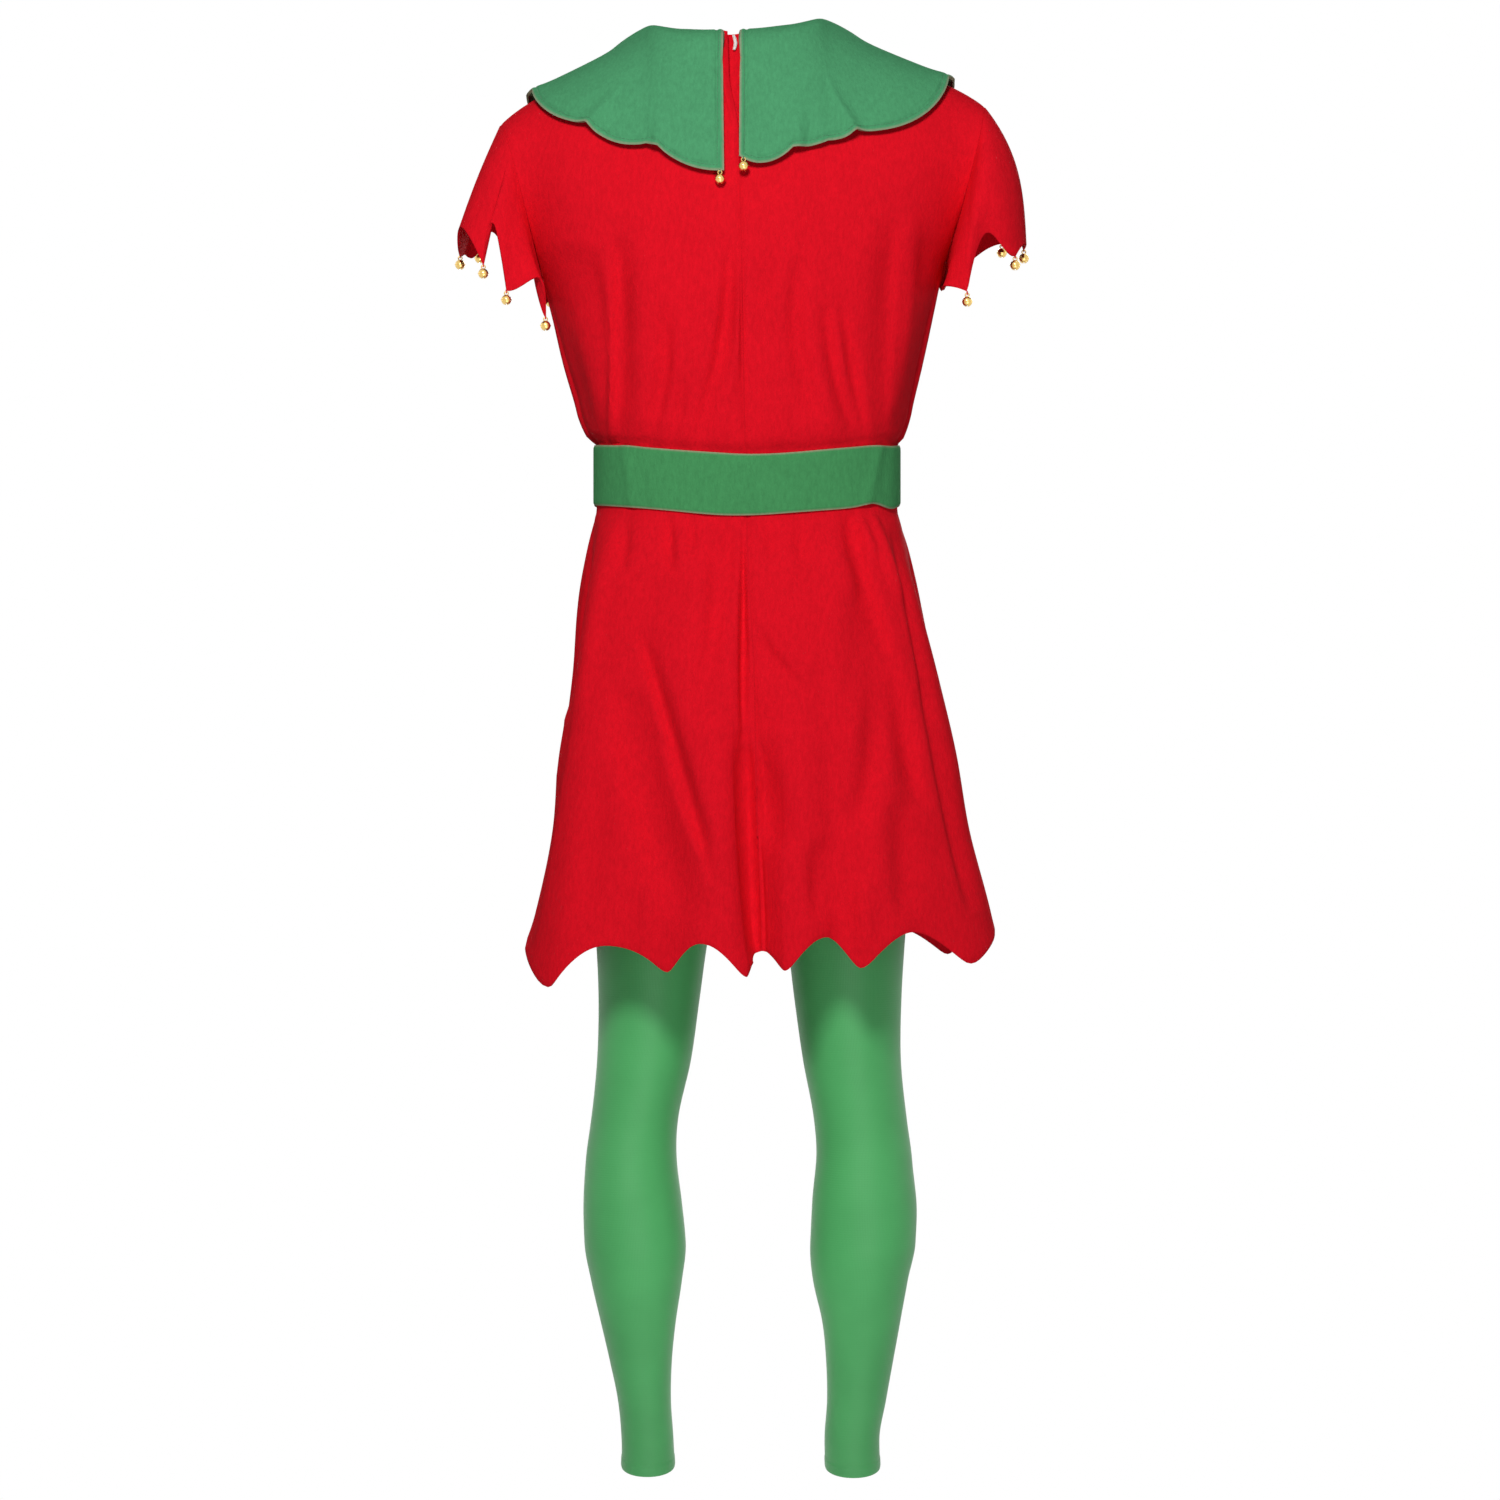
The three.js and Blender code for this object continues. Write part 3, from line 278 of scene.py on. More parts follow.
# The leggings' level sections: first over the hips, then of each leg.
HIPS = Table(
    "z x half back front",
    (-0.450, 0.005, 0.1466, 0.0914, 0.1004),
    (-0.480, 0.005, 0.1462, 0.0910, 0.1000),
    (-0.520, 0.006, 0.1490, 0.0980, 0.1020),
    (-0.580, 0.007, 0.1540, 0.1080, 0.1030),
    (-0.640, 0.008, 0.1580, 0.1140, 0.1010),
    (-0.735, 0.008, 0.1580, 0.1040, 0.0920),
)
LEGS = Table(
    "z y left_x left_half left_depth right_x right_half right_depth",
    (-0.590, -0.005, -0.0700, 0.0780, 0.104, 0.0860, 0.0780, 0.104),
    (-0.735, -0.004, -0.0762, 0.0840, 0.090, 0.0922, 0.0840, 0.090),
    (-0.790, -0.002, -0.0810, 0.0760, 0.084, 0.0970, 0.0770, 0.084),
    (-0.850, 0.000, -0.0860, 0.0650, 0.075, 0.1010, 0.0670, 0.076),
    (-0.910, 0.002, -0.0900, 0.0560, 0.067, 0.1040, 0.0590, 0.069),
    (-0.970, 0.003, -0.0930, 0.0505, 0.061, 0.1060, 0.0535, 0.063),
    (-1.030, 0.003, -0.0980, 0.0470, 0.057, 0.1100, 0.0490, 0.058),
    (-1.090, 0.001, -0.1075, 0.0435, 0.053, 0.1185, 0.0465, 0.054),
    (-1.130, -0.005, -0.1105, 0.0455, 0.054, 0.1220, 0.0480, 0.055),
    (-1.170, -0.011, -0.1090, 0.0490, 0.056, 0.1220, 0.0520, 0.057),
    (-1.210, -0.013, -0.1065, 0.0505, 0.056, 0.1205, 0.0525, 0.057),
    (-1.250, -0.011, -0.1050, 0.0450, 0.051, 0.1180, 0.0470, 0.052),
    (-1.290, -0.007, -0.1035, 0.0375, 0.044, 0.1190, 0.0390, 0.045),
    (-1.330, -0.003, -0.1010, 0.0310, 0.038, 0.1175, 0.0335, 0.039),
    (-1.370, 0.000, -0.0975, 0.0265, 0.034, 0.1145, 0.0295, 0.035),
    (-1.410, 0.003, -0.0945, 0.0260, 0.032, 0.1100, 0.0275, 0.033),
    (-1.450, 0.005, -0.0940, 0.0270, 0.033, 0.1110, 0.0275, 0.033),
)

# Creases finer than the solids' folds: a curve over the cloth through three points, seen square to the
# panel, its half width, and how far the cloth stands out there (or sinks in, below 0). Lean puts the steep
# side towards +x.
BACK_CREASES = Table(
    "x0 z0 x1 z1 x2 z2 width out lean",
    (-0.121, -0.219, -0.120, -0.321, -0.124, -0.424, 0.009, -0.0045, -0.5),
    (-0.148, -0.234, -0.132, -0.323, -0.137, -0.424, 0.009, -0.0025, 0.0),
    (-0.163, -0.225, -0.155, -0.330, -0.150, -0.424, 0.022, -0.0050, 0.4),
    (-0.129, -0.331, -0.129, -0.382, -0.130, -0.424, 0.005, 0.0020, 0.0),
    (-0.075, -0.287, -0.070, -0.384, -0.099, -0.424, 0.008, -0.0032, 0.2),
    (-0.058, -0.355, -0.059, -0.389, -0.072, -0.424, 0.007, -0.0018, 0.0),
    (-0.012, -0.224, -0.008, -0.317, -0.048, -0.426, 0.008, -0.0030, -0.2),
    (-0.002, -0.234, 0.000, -0.316, -0.013, -0.380, 0.006, 0.0015, 0.0),
    (0.027, -0.234, 0.017, -0.282, 0.026, -0.331, 0.009, -0.0012, 0.0),
    (0.060, -0.239, 0.036, -0.292, 0.080, -0.424, 0.009, -0.0022, 0.0),
    (0.082, -0.282, 0.087, -0.357, 0.118, -0.425, 0.007, -0.0032, 0.3),
    (0.097, -0.273, 0.113, -0.372, 0.125, -0.424, 0.006, -0.0026, 0.3),
    (0.147, -0.200, 0.146, -0.311, 0.137, -0.424, 0.011, -0.0045, 0.4),
    (0.172, -0.215, 0.170, -0.320, 0.158, -0.424, 0.024, -0.0050, -0.4),
    (0.162, -0.185, 0.179, -0.273, 0.159, -0.399, 0.010, 0.0025, 0.0),
    (-0.087, -0.166, -0.088, -0.248, -0.094, -0.312, 0.022, 0.0015, 0.0),
    (0.037, -0.175, 0.046, -0.243, 0.039, -0.312, 0.020, 0.0015, 0.0),
    (0.004, -0.498, 0.001, -0.606, 0.003, -0.715, 0.004, -0.0038, 0.0),
    (0.003, -0.701, 0.012, -0.810, 0.017, -0.924, 0.008, -0.0070, 0.5),
    (0.009, -0.715, 0.022, -0.771, 0.036, -0.816, 0.016, -0.0040, -0.3),
    (-0.027, -0.515, -0.015, -0.564, -0.043, -0.696, 0.011, -0.0036, 0.0),
    (-0.099, -0.606, -0.079, -0.687, -0.027, -0.850, 0.006, -0.0042, -0.6),
    (-0.075, -0.706, -0.060, -0.775, -0.035, -0.816, 0.007, -0.0030, -0.5),
    (-0.110, -0.662, -0.116, -0.732, -0.047, -0.889, 0.020, -0.0050, -0.3),
    (-0.073, -0.493, -0.071, -0.513, -0.070, -0.548, 0.006, -0.0026, 0.0),
    (-0.050, -0.493, -0.048, -0.511, -0.050, -0.532, 0.005, -0.0014, 0.0),
    (-0.114, -0.491, -0.116, -0.515, -0.118, -0.546, 0.007, -0.0022, 0.0),
    (-0.014, -0.499, -0.014, -0.530, -0.011, -0.565, 0.007, -0.0020, 0.0),
    (0.025, -0.495, 0.028, -0.517, 0.028, -0.538, 0.006, -0.0012, 0.0),
    (0.056, -0.494, 0.057, -0.515, 0.059, -0.542, 0.007, -0.0014, 0.0),
    (0.105, -0.489, 0.114, -0.536, 0.149, -0.641, 0.007, -0.0055, 0.3),
    (0.117, -0.491, 0.120, -0.510, 0.132, -0.532, 0.004, 0.0026, 0.0),
    (0.127, -0.487, 0.137, -0.512, 0.157, -0.575, 0.005, 0.0030, 0.2),
    (0.112, -0.556, 0.114, -0.631, 0.108, -0.696, 0.014, -0.0026, 0.0),
    (0.146, -0.628, 0.159, -0.708, 0.174, -0.778, 0.010, -0.0045, 0.3),
    (0.130, -0.662, 0.131, -0.741, 0.110, -0.793, 0.011, -0.0036, 0.0),
    (0.075, -0.807, 0.074, -0.844, 0.074, -0.885, 0.011, -0.0026, 0.0),
    (0.011, -0.603, 0.031, -0.639, 0.068, -0.669, 0.009, -0.0018, 0.4),
    (-0.136, -0.730, -0.142, -0.816, -0.156, -0.903, 0.014, -0.0020, 0.0),
    (0.152, -0.768, 0.159, -0.826, 0.158, -0.883, 0.013, -0.0030, 0.0),
    (-0.147, -0.492, -0.164, -0.600, -0.181, -0.745, 0.006, -0.0050, 0.4),
    (-0.176, -0.690, -0.192, -0.800, -0.212, -0.915, 0.007, -0.0050, 0.4),
    (-0.128, -0.500, -0.148, -0.600, -0.160, -0.700, 0.009, 0.0022, 0.0),
    (0.150, -0.500, 0.170, -0.590, 0.188, -0.700, 0.006, -0.0050, -0.4),
    (0.178, -0.650, 0.202, -0.780, 0.226, -0.880, 0.007, -0.0050, -0.4),
    (0.118, -0.560, 0.140, -0.650, 0.127, -0.745, 0.013, -0.0042, 0.0),
    (-0.088, -0.845, -0.087, -0.879, -0.098, -0.912, 0.010, 0.0020, 0.0),
    (0.114, -0.845, 0.122, -0.876, 0.120, -0.917, 0.010, 0.0025, 0.0),
)
# Creases across the belt: degrees round from the back, slant and half width in degrees, how far the belt
# stands out there, and how its upper and lower edges move up.
BELT_CREASES = Table(
    "at slant width out top foot",
    (-58.0, 3.0, 2.4, 0.0016, 0.0008, 0.0000),
    (-52.0, 4.0, 1.6, -0.0004, 0.0000, 0.0000),
    (-20.0, -5.0, 7.0, 0.0010, 0.0004, -0.0006),
    (24.0, 6.0, 8.0, 0.0008, -0.0004, 0.0006),
    (62.0, -6.0, 3.0, 0.0020, 0.0006, 0.0035),
    (72.0, -4.0, 3.5, 0.0004, -0.0010, -0.0035),
    (118.0, 5.0, 5.0, 0.0012, 0.0004, -0.0006),
    (160.0, -4.0, 4.0, 0.0008, 0.0000, 0.0006),
    (-120.0, 5.0, 5.0, 0.0012, 0.0004, 0.0000),
)
FRONT_CREASES = Table(
    "x0 z0 x1 z1 x2 z2 width out lean",
    (-0.120, -0.240, -0.110, -0.330, -0.104, -0.412, 0.012, -0.0028, 0.3),
    (-0.050, -0.300, -0.046, -0.360, -0.040, -0.412, 0.010, -0.0022, -0.2),
    (0.052, -0.290, 0.046, -0.350, 0.042, -0.412, 0.010, -0.0022, 0.2),
    (0.118, -0.250, 0.112, -0.330, 0.104, -0.412, 0.012, -0.0028, -0.3),
    (-0.085, -0.520, -0.100, -0.700, -0.112, -0.890, 0.014, -0.0045, -0.4),
    (0.020, -0.510, 0.026, -0.700, 0.020, -0.880, 0.012, -0.0035, 0.3),
    (0.100, -0.520, 0.116, -0.700, 0.130, -0.890, 0.014, -0.0045, 0.4),
)


# Small maths.
def lerp(a, b, t):
    return a + (b - a) * t


def smooth(a, b, x):
    t = np.clip((x - a) / (b - a), 0.0, 1.0)
    return t * t * (3 - 2 * t)


def bump(x):
    return np.where(np.abs(x) >= 2, 0.0, 0.5 + 0.5 * np.cos(math.pi * np.clip(x, -2, 2) / 2))


def apart(a, b):
    """How far a is from b round the tunic, in teeth."""
    return np.mod(a - b + TEETH / 2, TEETH) - TEETH / 2


def above(x, power):
    """x to a power, with 0 in place of what is below 0."""
    return np.maximum(x, 0.0) ** power


def points(x, y, z):
    return np.stack(np.broadcast_arrays(x, y, z), axis=-1).astype(float)


def unit(vectors):
    return vectors / np.maximum(np.linalg.norm(vectors, axis=-1, keepdims=True), 1e-12)


# The tunic's surface: q is teeth round from the centre back, towards the wearer's right.
def oval_radius(angle, half, back, front, square):
    across, along = np.abs(np.sin(angle)), np.cos(angle)
    deep = np.where(along > 0, back, front)
    return ((across / half) ** square + (np.abs(along) / deep) ** square) ** (-1 / square)


def tunic_ring(angle, z, out):
    """The tunic's level section at height z: the point at an angle from the back, moved out."""
    half, back, front, square = (TUNIC.at(column, z) for column in ("half", "back", "front", "square"))
    radius = oval_radius(angle, half, back, front, square) + out
    return points(TUNIC.at("x", z) + radius * np.sin(angle), -radius * np.cos(angle), z)


def waist_dip(angle, z):
    """How far the belt, and the waist under it, dips at this angle."""
    near = smooth(-0.300, -0.405, z) * smooth(-0.600, -0.486, z)
    return -BELT["back_dip"] * above(np.cos(angle), 1.5) * near


def beside_waist(angle, z, out):
    """A point beside the waist of the tunic, square out from its outer side."""
    ahead = unit(tunic_ring(angle + 0.01, z, 0) - tunic_ring(angle - 0.01, z, 0))
    away = points(ahead[..., 1], -ahead[..., 0], 0.0)
    spot = tunic_ring(angle, z, 0) + away * np.asarray(out)[..., None]
    spot[..., 2] += waist_dip(angle, z)
    return spot


def hem_rows(q):
    """The hem's row at a place, the row after it, and how far the place is between their arches."""
    k = np.floor(q).astype(int)

    def row(n):
        turns = 360 * np.floor_divide(n, TEETH)
        here = {name: HEM[name][np.mod(n, TEETH)] for name in HEM.columns}
        return {**here, "arch_at": here["arch_at"] + turns, "tip_at": here["tip_at"] + turns}

    return row(k), row(k + 1), q - k


def hem_angle(q):
    here, after, t = hem_rows(q)
    first = lerp(here["arch_at"], here["tip_at"], 2 * t)
    return np.radians(np.where(t < 0.5, first, lerp(here["tip_at"], after["arch_at"], 2 * t - 1)))


def hem_height(q):
    here, after, t = hem_rows(q)
    away = np.abs(2 * t - 1)
    rounded = (np.sqrt(away**2 + TIP_ROUND**2) - TIP_ROUND) / (math.sqrt(1 + TIP_ROUND**2) - TIP_ROUND)
    up = 1 - above(1 - rounded, 2.0)
    return lerp(here["tip"], np.where(t < 0.5, here["arch"], after["arch"]), up)


def skirt_folds(q, v):
    """How far the skirt stands out at q, v of the way from the belt to the hem."""
    out = 0.0
    for fold in SKIRT_FOLDS.rows():
        size = lerp(fold["hips"], fold["foot"], smooth(0.2, 1, v)) * smooth(0, 0.22, v)
        out = out + size * bump(apart(q, lerp(fold["belt"], fold["hem"], v)) / fold["width"])
    return out


def bodice_folds(q, z):
    """How far the bodice stands out at q and height z."""
    rise = z - (BELT["middle"] + BELT["height"] / 2)
    out = 0.0
    for fold in BODICE_FOLDS.rows():
        t = np.clip(rise / fold["reach"], 0, 1)
        size = fold["out"] * smooth(0, 0.2, t) * (1 - smooth(0.35, 1, t))
        out = out + size * bump(apart(q, lerp(fold["belt"], fold["top"], t)) / fold["width"])
    return out


def place_of(q):
    """Whether q is on the front, its share of the way from the centre to the side seam, and its sign."""
    round_back = np.mod(q + HALF, TEETH) - HALF
    front = round_back > HALF
    offset = np.where(front, 2 * HALF - round_back, round_back)
    return front, np.minimum(1.0, np.abs(offset) / HALF), np.where(offset < 0, -1.0, 1.0)


def shoulder(sign, fact):
    return np.where(sign < 0, SHOULDER["left"][fact], SHOULDER["right"][fact])


def top_edge(front, share, sign):
    """The upper edge of the tunic: the neckline, then the shoulder seam."""
    end_x = NECK["x"] + sign * NECK["half"]
    end_z = NECK["rise"] + sign * NECK["tilt"]
    a = np.radians(90) * np.minimum(share / NECK_SHARE, 1)
    front_drop = NECK["front_drop"] * above(np.cos(a), 1.3)
    drop = np.where(front, front_drop, NECK["back_drop"] * above(np.cos(a), 1.6))
    deep = np.where(front, NECK["front"], -NECK["back"])
    neck = points(lerp(NECK["x"], end_x, np.sin(a)), deep * np.cos(a), end_z * np.sin(a) - drop)
    u = np.maximum(share - NECK_SHARE, 0) / (1 - NECK_SHARE)
    sag = SHOULDER["sag"] * np.sin(math.pi * u) * (1 - u)
    seam_z = lerp(end_z, shoulder(sign, "z"), 0.9 * u + 0.1 * u**8) - sag
    seam = points(lerp(end_x, shoulder(sign, "x"), u), 0.0, seam_z)
    return np.where((share <= NECK_SHARE)[..., None], neck, seam)


def armhole_level(angle):
    return ARMHOLE["level"] + ARMHOLE["tilt"] * np.sin(angle)


def upright_angle(q):
    return np.radians(90) * q / HALF


def yoke(q, t):
    """The tunic between its upper edge (t = 0) and the level of the armholes (t = 1)."""
    q, t = np.broadcast_arrays(np.asarray(q, float), np.asarray(t, float))
    front, share, sign = place_of(q)
    angle = upright_angle(q)
    top = top_edge(front, share, sign)
    foot = tunic_ring(angle, armhole_level(angle), bodice_folds(q, armhole_level(angle)))
    turn = t * math.pi / 2
    rounded = smooth(0, NECK_SHARE, share) * 0.45 + 0.55
    down = lerp(t, 1 - np.cos(turn), rounded)
    back = lerp(above(np.sin(turn), 1.15), above(np.sin(turn), 0.85), smooth(0, 0.3, share))
    end_curve = shoulder(sign, "curve")
    swell = ARMHOLE["bulge"] * share**4 * above(np.sin(math.pi * t), 0.7) * np.where(front, 0.85, -1.0)
    return points(
        lerp(top[..., 0], foot[..., 0], above(t, lerp(1.2, end_curve, share))),
        lerp(top[..., 1], foot[..., 1], back) + swell,
        lerp(top[..., 2], foot[..., 2], down),
    )


def tunic_point(q, v):
    """The tunic's outer side. v is 0 at the upper edge, 1 level with the armholes, 3 at the hem."""
    q, v = np.broadcast_arrays(np.asarray(q, float), np.asarray(v, float))
    straight = upright_angle(q)
    bodice = lerp(armhole_level(straight), LOWEST, np.clip(v - 1, 0, 1))
    z = np.where(v < 2, bodice, lerp(LOWEST, hem_height(q), v - 2))
    belt_foot = BELT["middle"] - BELT["height"] / 2
    fall = np.clip((belt_foot - z) / (belt_foot - hem_height(q)), 0, 1)
    angle = lerp(straight, hem_angle(q), smooth(0, 1, fall))
    out = np.where(z > BELT["middle"], bodice_folds(q, z), skirt_folds(q, fall))
    below = tunic_ring(angle, z, out)
    below[..., 2] += waist_dip(angle, z)
    return np.where((v <= 1)[..., None], yoke(q, np.clip(v, 0, 1)), below)


def back_point(q, v, side):
    """A back panel. Both run past the centre line in the neck slit, the left one over the right one."""
    spot = tunic_point(q, v)
    sunk = smooth(SLIT["depth"] + 0.040, SLIT["depth"] - 0.010, -spot[..., 2])
    lapped = smooth(SLIT["depth"] - 0.010, SLIT["depth"] - 0.070, -spot[..., 2])
    near = 1 - smooth(0, 0.45, np.abs(q))
    if side == "right":
        spot[..., 0] += SLIT["right"] * lapped * near
        spot[..., 1] += SLIT["sink"] * sunk * near
    else:
        spot[..., 0] += SLIT["left"] * lapped * near
        spot[..., 1] -= 0.0006 * sunk * near
    return spot


def collar_point(degrees, k):
    """The collar's outer side: degrees round from the back, k of the way from the neck to its edge."""
    degrees, k = np.broadcast_arrays(np.asarray(degrees, float), np.asarray(k, float))
    around = np.clip(degrees, 0, 360)
    quarter = np.where(around <= 90, around, np.where(around <= 270, np.abs(180 - around), 360 - around))
    front = (around > 90) & (around < 270)
    places, notches = COLLAR_CORNERS["at"], COLLAR_CORNERS["notch"]
    after = np.clip(np.searchsorted(places, around), 1, len(places) - 1)
    before = after - 1
    t = (around - places[before]) / (places[after] - places[before])
    far = 1 - notches[before] * (1 - t) ** 3 - notches[after] * t**3
    turn = np.radians(quarter)
    start = NECK_SHARE * quarter / 90
    share = lerp(start, COLLAR["side"] * np.sin(turn), k) * lerp(1, far, k)
    on_right = around < 180

    def by_part(name):
        behind = np.where(on_right, COLLAR[name + "_right"], COLLAR[name + "_left"])
        return np.where(front, COLLAR[name + "_front"], behind)

    reach = np.where(front, COLLAR["front_reach"], COLLAR["back_reach"])
    droop = above(np.cos(turn), by_part("round")) + by_part("droop") * np.sin(2 * turn) ** 2
    depth = reach * droop * k * lerp(1, far, k)
    sideways = np.where(on_right, 1, -1) * share * HALF
    q = np.where(front, 2 * HALF - sideways, sideways)
    shift = 0.004

    def under(dq, dt):
        return yoke(q + dq, np.clip(depth + dt, 1e-4, 1))

    normal = unit(np.cross(under(0, shift) - under(0, -shift), under(shift, 0) - under(-shift, 0)))
    roll = COLLAR["roll"] * above(np.sin(math.pi * np.clip(k / 0.34, 0, 1)), 1.2)
    corner = np.exp(-(((around - places[before]) / 4) ** 2)) * notches[before]
    corner = corner + np.exp(-(((around - places[after]) / 4) ** 2)) * notches[after]
    loose = COLLAR["gap"] + COLLAR["front_gap"] * above(-np.cos(np.radians(around)), 0.4)
    rest = WALL["collar"] + lerp(COLLAR["seam_gap"], loose, smooth(-0.09, 0.06, k))
    lift = rest + COLLAR["flare"] * k * k + 0.060 * corner * k**3 + roll
    spot = under(0, 0) + normal * lift[..., None]
    edge = [np.where(on_right, COLLAR["split_right"][i], COLLAR["split_left"][i]) for i in (0, 1)]
    spot[..., 0] += lerp(edge[0], edge[1], k) * (1 - smooth(0, 45, np.where(front, 90, quarter)))
    return spot


# Sleeves: u is 0 at the shoulder, a quarter at the back and a half under the arm.
def armhole_seam(side, u, inset=0.0):
    around = np.mod(u, 1.0)
    back = around <= 0.5
    t = np.where(back, 2 * around, 2 * (1 - around))
    sign = -1 if side == "left" else 1
    return yoke(sign * (HALF + np.where(back, -1e-6 - inset, 1e-6 + inset)), t)


def lowness(u):
    around = np.mod(u, 1.0)
    return smooth(0.22, 0.4, np.minimum(around, 1 - around))


def armhole_normal(side, u):
    along = armhole_seam(side, u + 0.004) - armhole_seam(side, u - 0.004)
    away = armhole_seam(side, u) - armhole_seam(side, u, 0.02)
    normal = unit(np.cross(along, away))
    outside = points(-1 if side == "left" else 1, -1.5 * np.sin(2 * math.pi * u), 0.6)
    inwards = np.sum(normal * outside, axis=-1, keepdims=True) < 0
    return np.where(inwards, -normal, normal)


def sleeve_point(side, u, v):
    """A sleeve's outer side, v of the way from the armhole to the pointed cuff."""
    u, v = np.broadcast_arrays(np.asarray(u, float), np.asarray(v, float))
    cuff = CUFFS[side]
    sign = -1 if side == "left" else 1
    angle = 2 * math.pi * u
    under = above(-np.cos(angle), 2)
    seam = armhole_seam(side, u)
    ring = np.array(cuff["middle"]) + np.array(cuff["outer"]) * np.cos(angle)[..., None]
    ring[..., 1] -= cuff["depth"] * np.sign(np.sin(angle)) * np.abs(np.sin(angle)) ** 0.45
    degrees = np.mod(u, 1.0) * 360
    table = cuff["points"]
    k = np.searchsorted(table["at"], degrees + 1e-6, side="right") - 1
    after = np.mod(k + 1, len(table["at"]))
    t = (degrees - table["at"][k]) / np.mod(table["at"][after] - table["at"][k], 360)
    leaning = np.clip(t, 0, 1) ** table["lean"][k]
    up = above(np.sin(math.pi * leaning), 0.85)
    drop = np.where(leaning < 0.5, table["drop"][k], table["drop"][after])
    ring[..., 2] -= lerp(drop, -table["rise"][k], up)
    hug = cuff["hug"] * smooth(95, 148, degrees) * smooth(265, 212, degrees) * (1 - 0.7 * under**4)
    ring[..., 0] -= sign * hug
    swell = points(sign * np.cos(angle), -1.3 * np.sin(angle), 0.4 * np.cos(angle))
    spot = lerp(seam, ring, v[..., None])
    spot += swell * (cuff["swell"] * np.sin(math.pi * v**0.9) * (1 - under))[..., None]
    low = lowness(u)
    spot[..., 0] += sign * low * 0.004 * above(np.sin(math.pi * np.clip(v, 0, 1)), 0.7)
    leave = unit(seam - armhole_seam(side, u, 0.05))
    spot += leave * (0.2 * SEAM * (1 - low) * (1 - v))[..., None]
    spot += armhole_normal(side, u) * (0.5 * SEAM * low * (1 - v))[..., None]
    return spot


# Leggings: u is 0 between the legs at the front, and 1 there at the back.
def leg_point(side, u, z):
    u, z = np.broadcast_arrays(np.asarray(u, float), np.asarray(z, float))
    sign = -1 if side == "left" else 1
    body_angle = math.pi * (1 - sign * u)
    reach = oval_radius(body_angle, *(HIPS.at(column, z) for column in ("half", "back", "front")), 2.5)
    middle = HIPS.at("x", z) + sign * SEAM / 2
    on_body = points(middle + reach * np.sin(body_angle), -reach * np.cos(body_angle), z)

    def squared(x):
        return np.sign(x) * np.abs(x) ** (2 / 2.1)

    angle = 2 * math.pi * u
    on_leg = points(
        LEGS.at(side + "_x", z) - sign * LEGS.at(side + "_half", z) * squared(np.cos(angle)),
        LEGS.at("y", z) + LEGS.at(side + "_depth", z) * squared(np.sin(angle)),
        z,
    )
    share = above(np.clip((CROTCH["hip"] - z) / (CROTCH["hip"] - CROTCH["z"]), 0, 1), 2.2)
    spot = lerp(on_body, on_leg, share[..., None])
    kept = sign * np.maximum(sign * spot[..., 0], sign * middle)
    spot[..., 0] = np.where(z > CROTCH["z"] - 0.001, kept, spot[..., 0])
    ankle_dip = smooth(ANKLE["right"] + 0.060, ANKLE["right"], z) * ANKLE["back_dip"] * np.sin(angle)
    spot[..., 2] += waist_dip(body_angle, z) + ankle_dip
    return spot


# Grids of points, and what shapes them.
EDGE_ANGLE = math.radians(50)


def closer_at_ends(count, amount):
    """Shares from 0 to 1, closer together at both ends."""
    even = np.linspace(0, 1, count)
    return even - amount * np.sin(2 * math.pi * even) / (2 * math.pi)


def lengths_from(grid, axis, last=False):
    """How far each point of a grid lies from its first (or last) row or column, along the cloth."""
    steps = np.linalg.norm(np.diff(grid, axis=axis), axis=-1)
    steps = np.flip(steps, axis) if last else steps
    first = np.zeros_like(np.take(steps, [0], axis=axis))
    total = np.concatenate([first, np.cumsum(steps, axis=axis)], axis=axis)
    return np.flip(total, axis) if last else total


def lengths_from_sides(grid):
    return np.minimum(lengths_from(grid, 1), lengths_from(grid, 1, last=True))


def groove(distance, place, width, depth):
    """A soft groove along the line where the distance is place."""
    return -depth * np.exp(-(((distance - place) / width) ** 2))


def grid_normals(grid, ring_from=None):
    """Outward directions of a grid whose rows go down and whose columns go round to the wearer's right."""
    down = np.gradient(grid, axis=0)
    across = np.gradient(grid, axis=1)
    if ring_from is not None:
        joined = grid[ring_from:, 1] - grid[ring_from:, -2]
        across[ring_from:, 0] = joined
        across[ring_from:, -1] = joined
    return unit(np.cross(down, across))


def soften_rows(grid, middle, reach, passes, share):
    """Smooths a grid down its columns near one row, each column by its own share."""
    rows = np.arange(grid.shape[0])
    weight = np.exp(-(((rows - middle) / reach) ** 2))[1:-1, None, None] * share[None, :, None]
    for _ in range(passes):
        even = (grid[:-2] + 2 * grid[1:-1] + grid[2:]) / 4
        grid[1:-1] = lerp(grid[1:-1], even, weight)
    return grid


def soften(grid, passes, weight):
    """Smooths a grid both ways inside its edges, each row by its own weight."""
    weight = weight[1:-1, None, None]
    for _ in range(passes):
        down = (grid[:-2, 1:-1] + grid[2:, 1:-1]) / 2
        across = (grid[1:-1, :-2] + grid[1:-1, 2:]) / 2
        grid[1:-1, 1:-1] = lerp(grid[1:-1, 1:-1], (down + 3 * across) / 4, weight)
    return grid


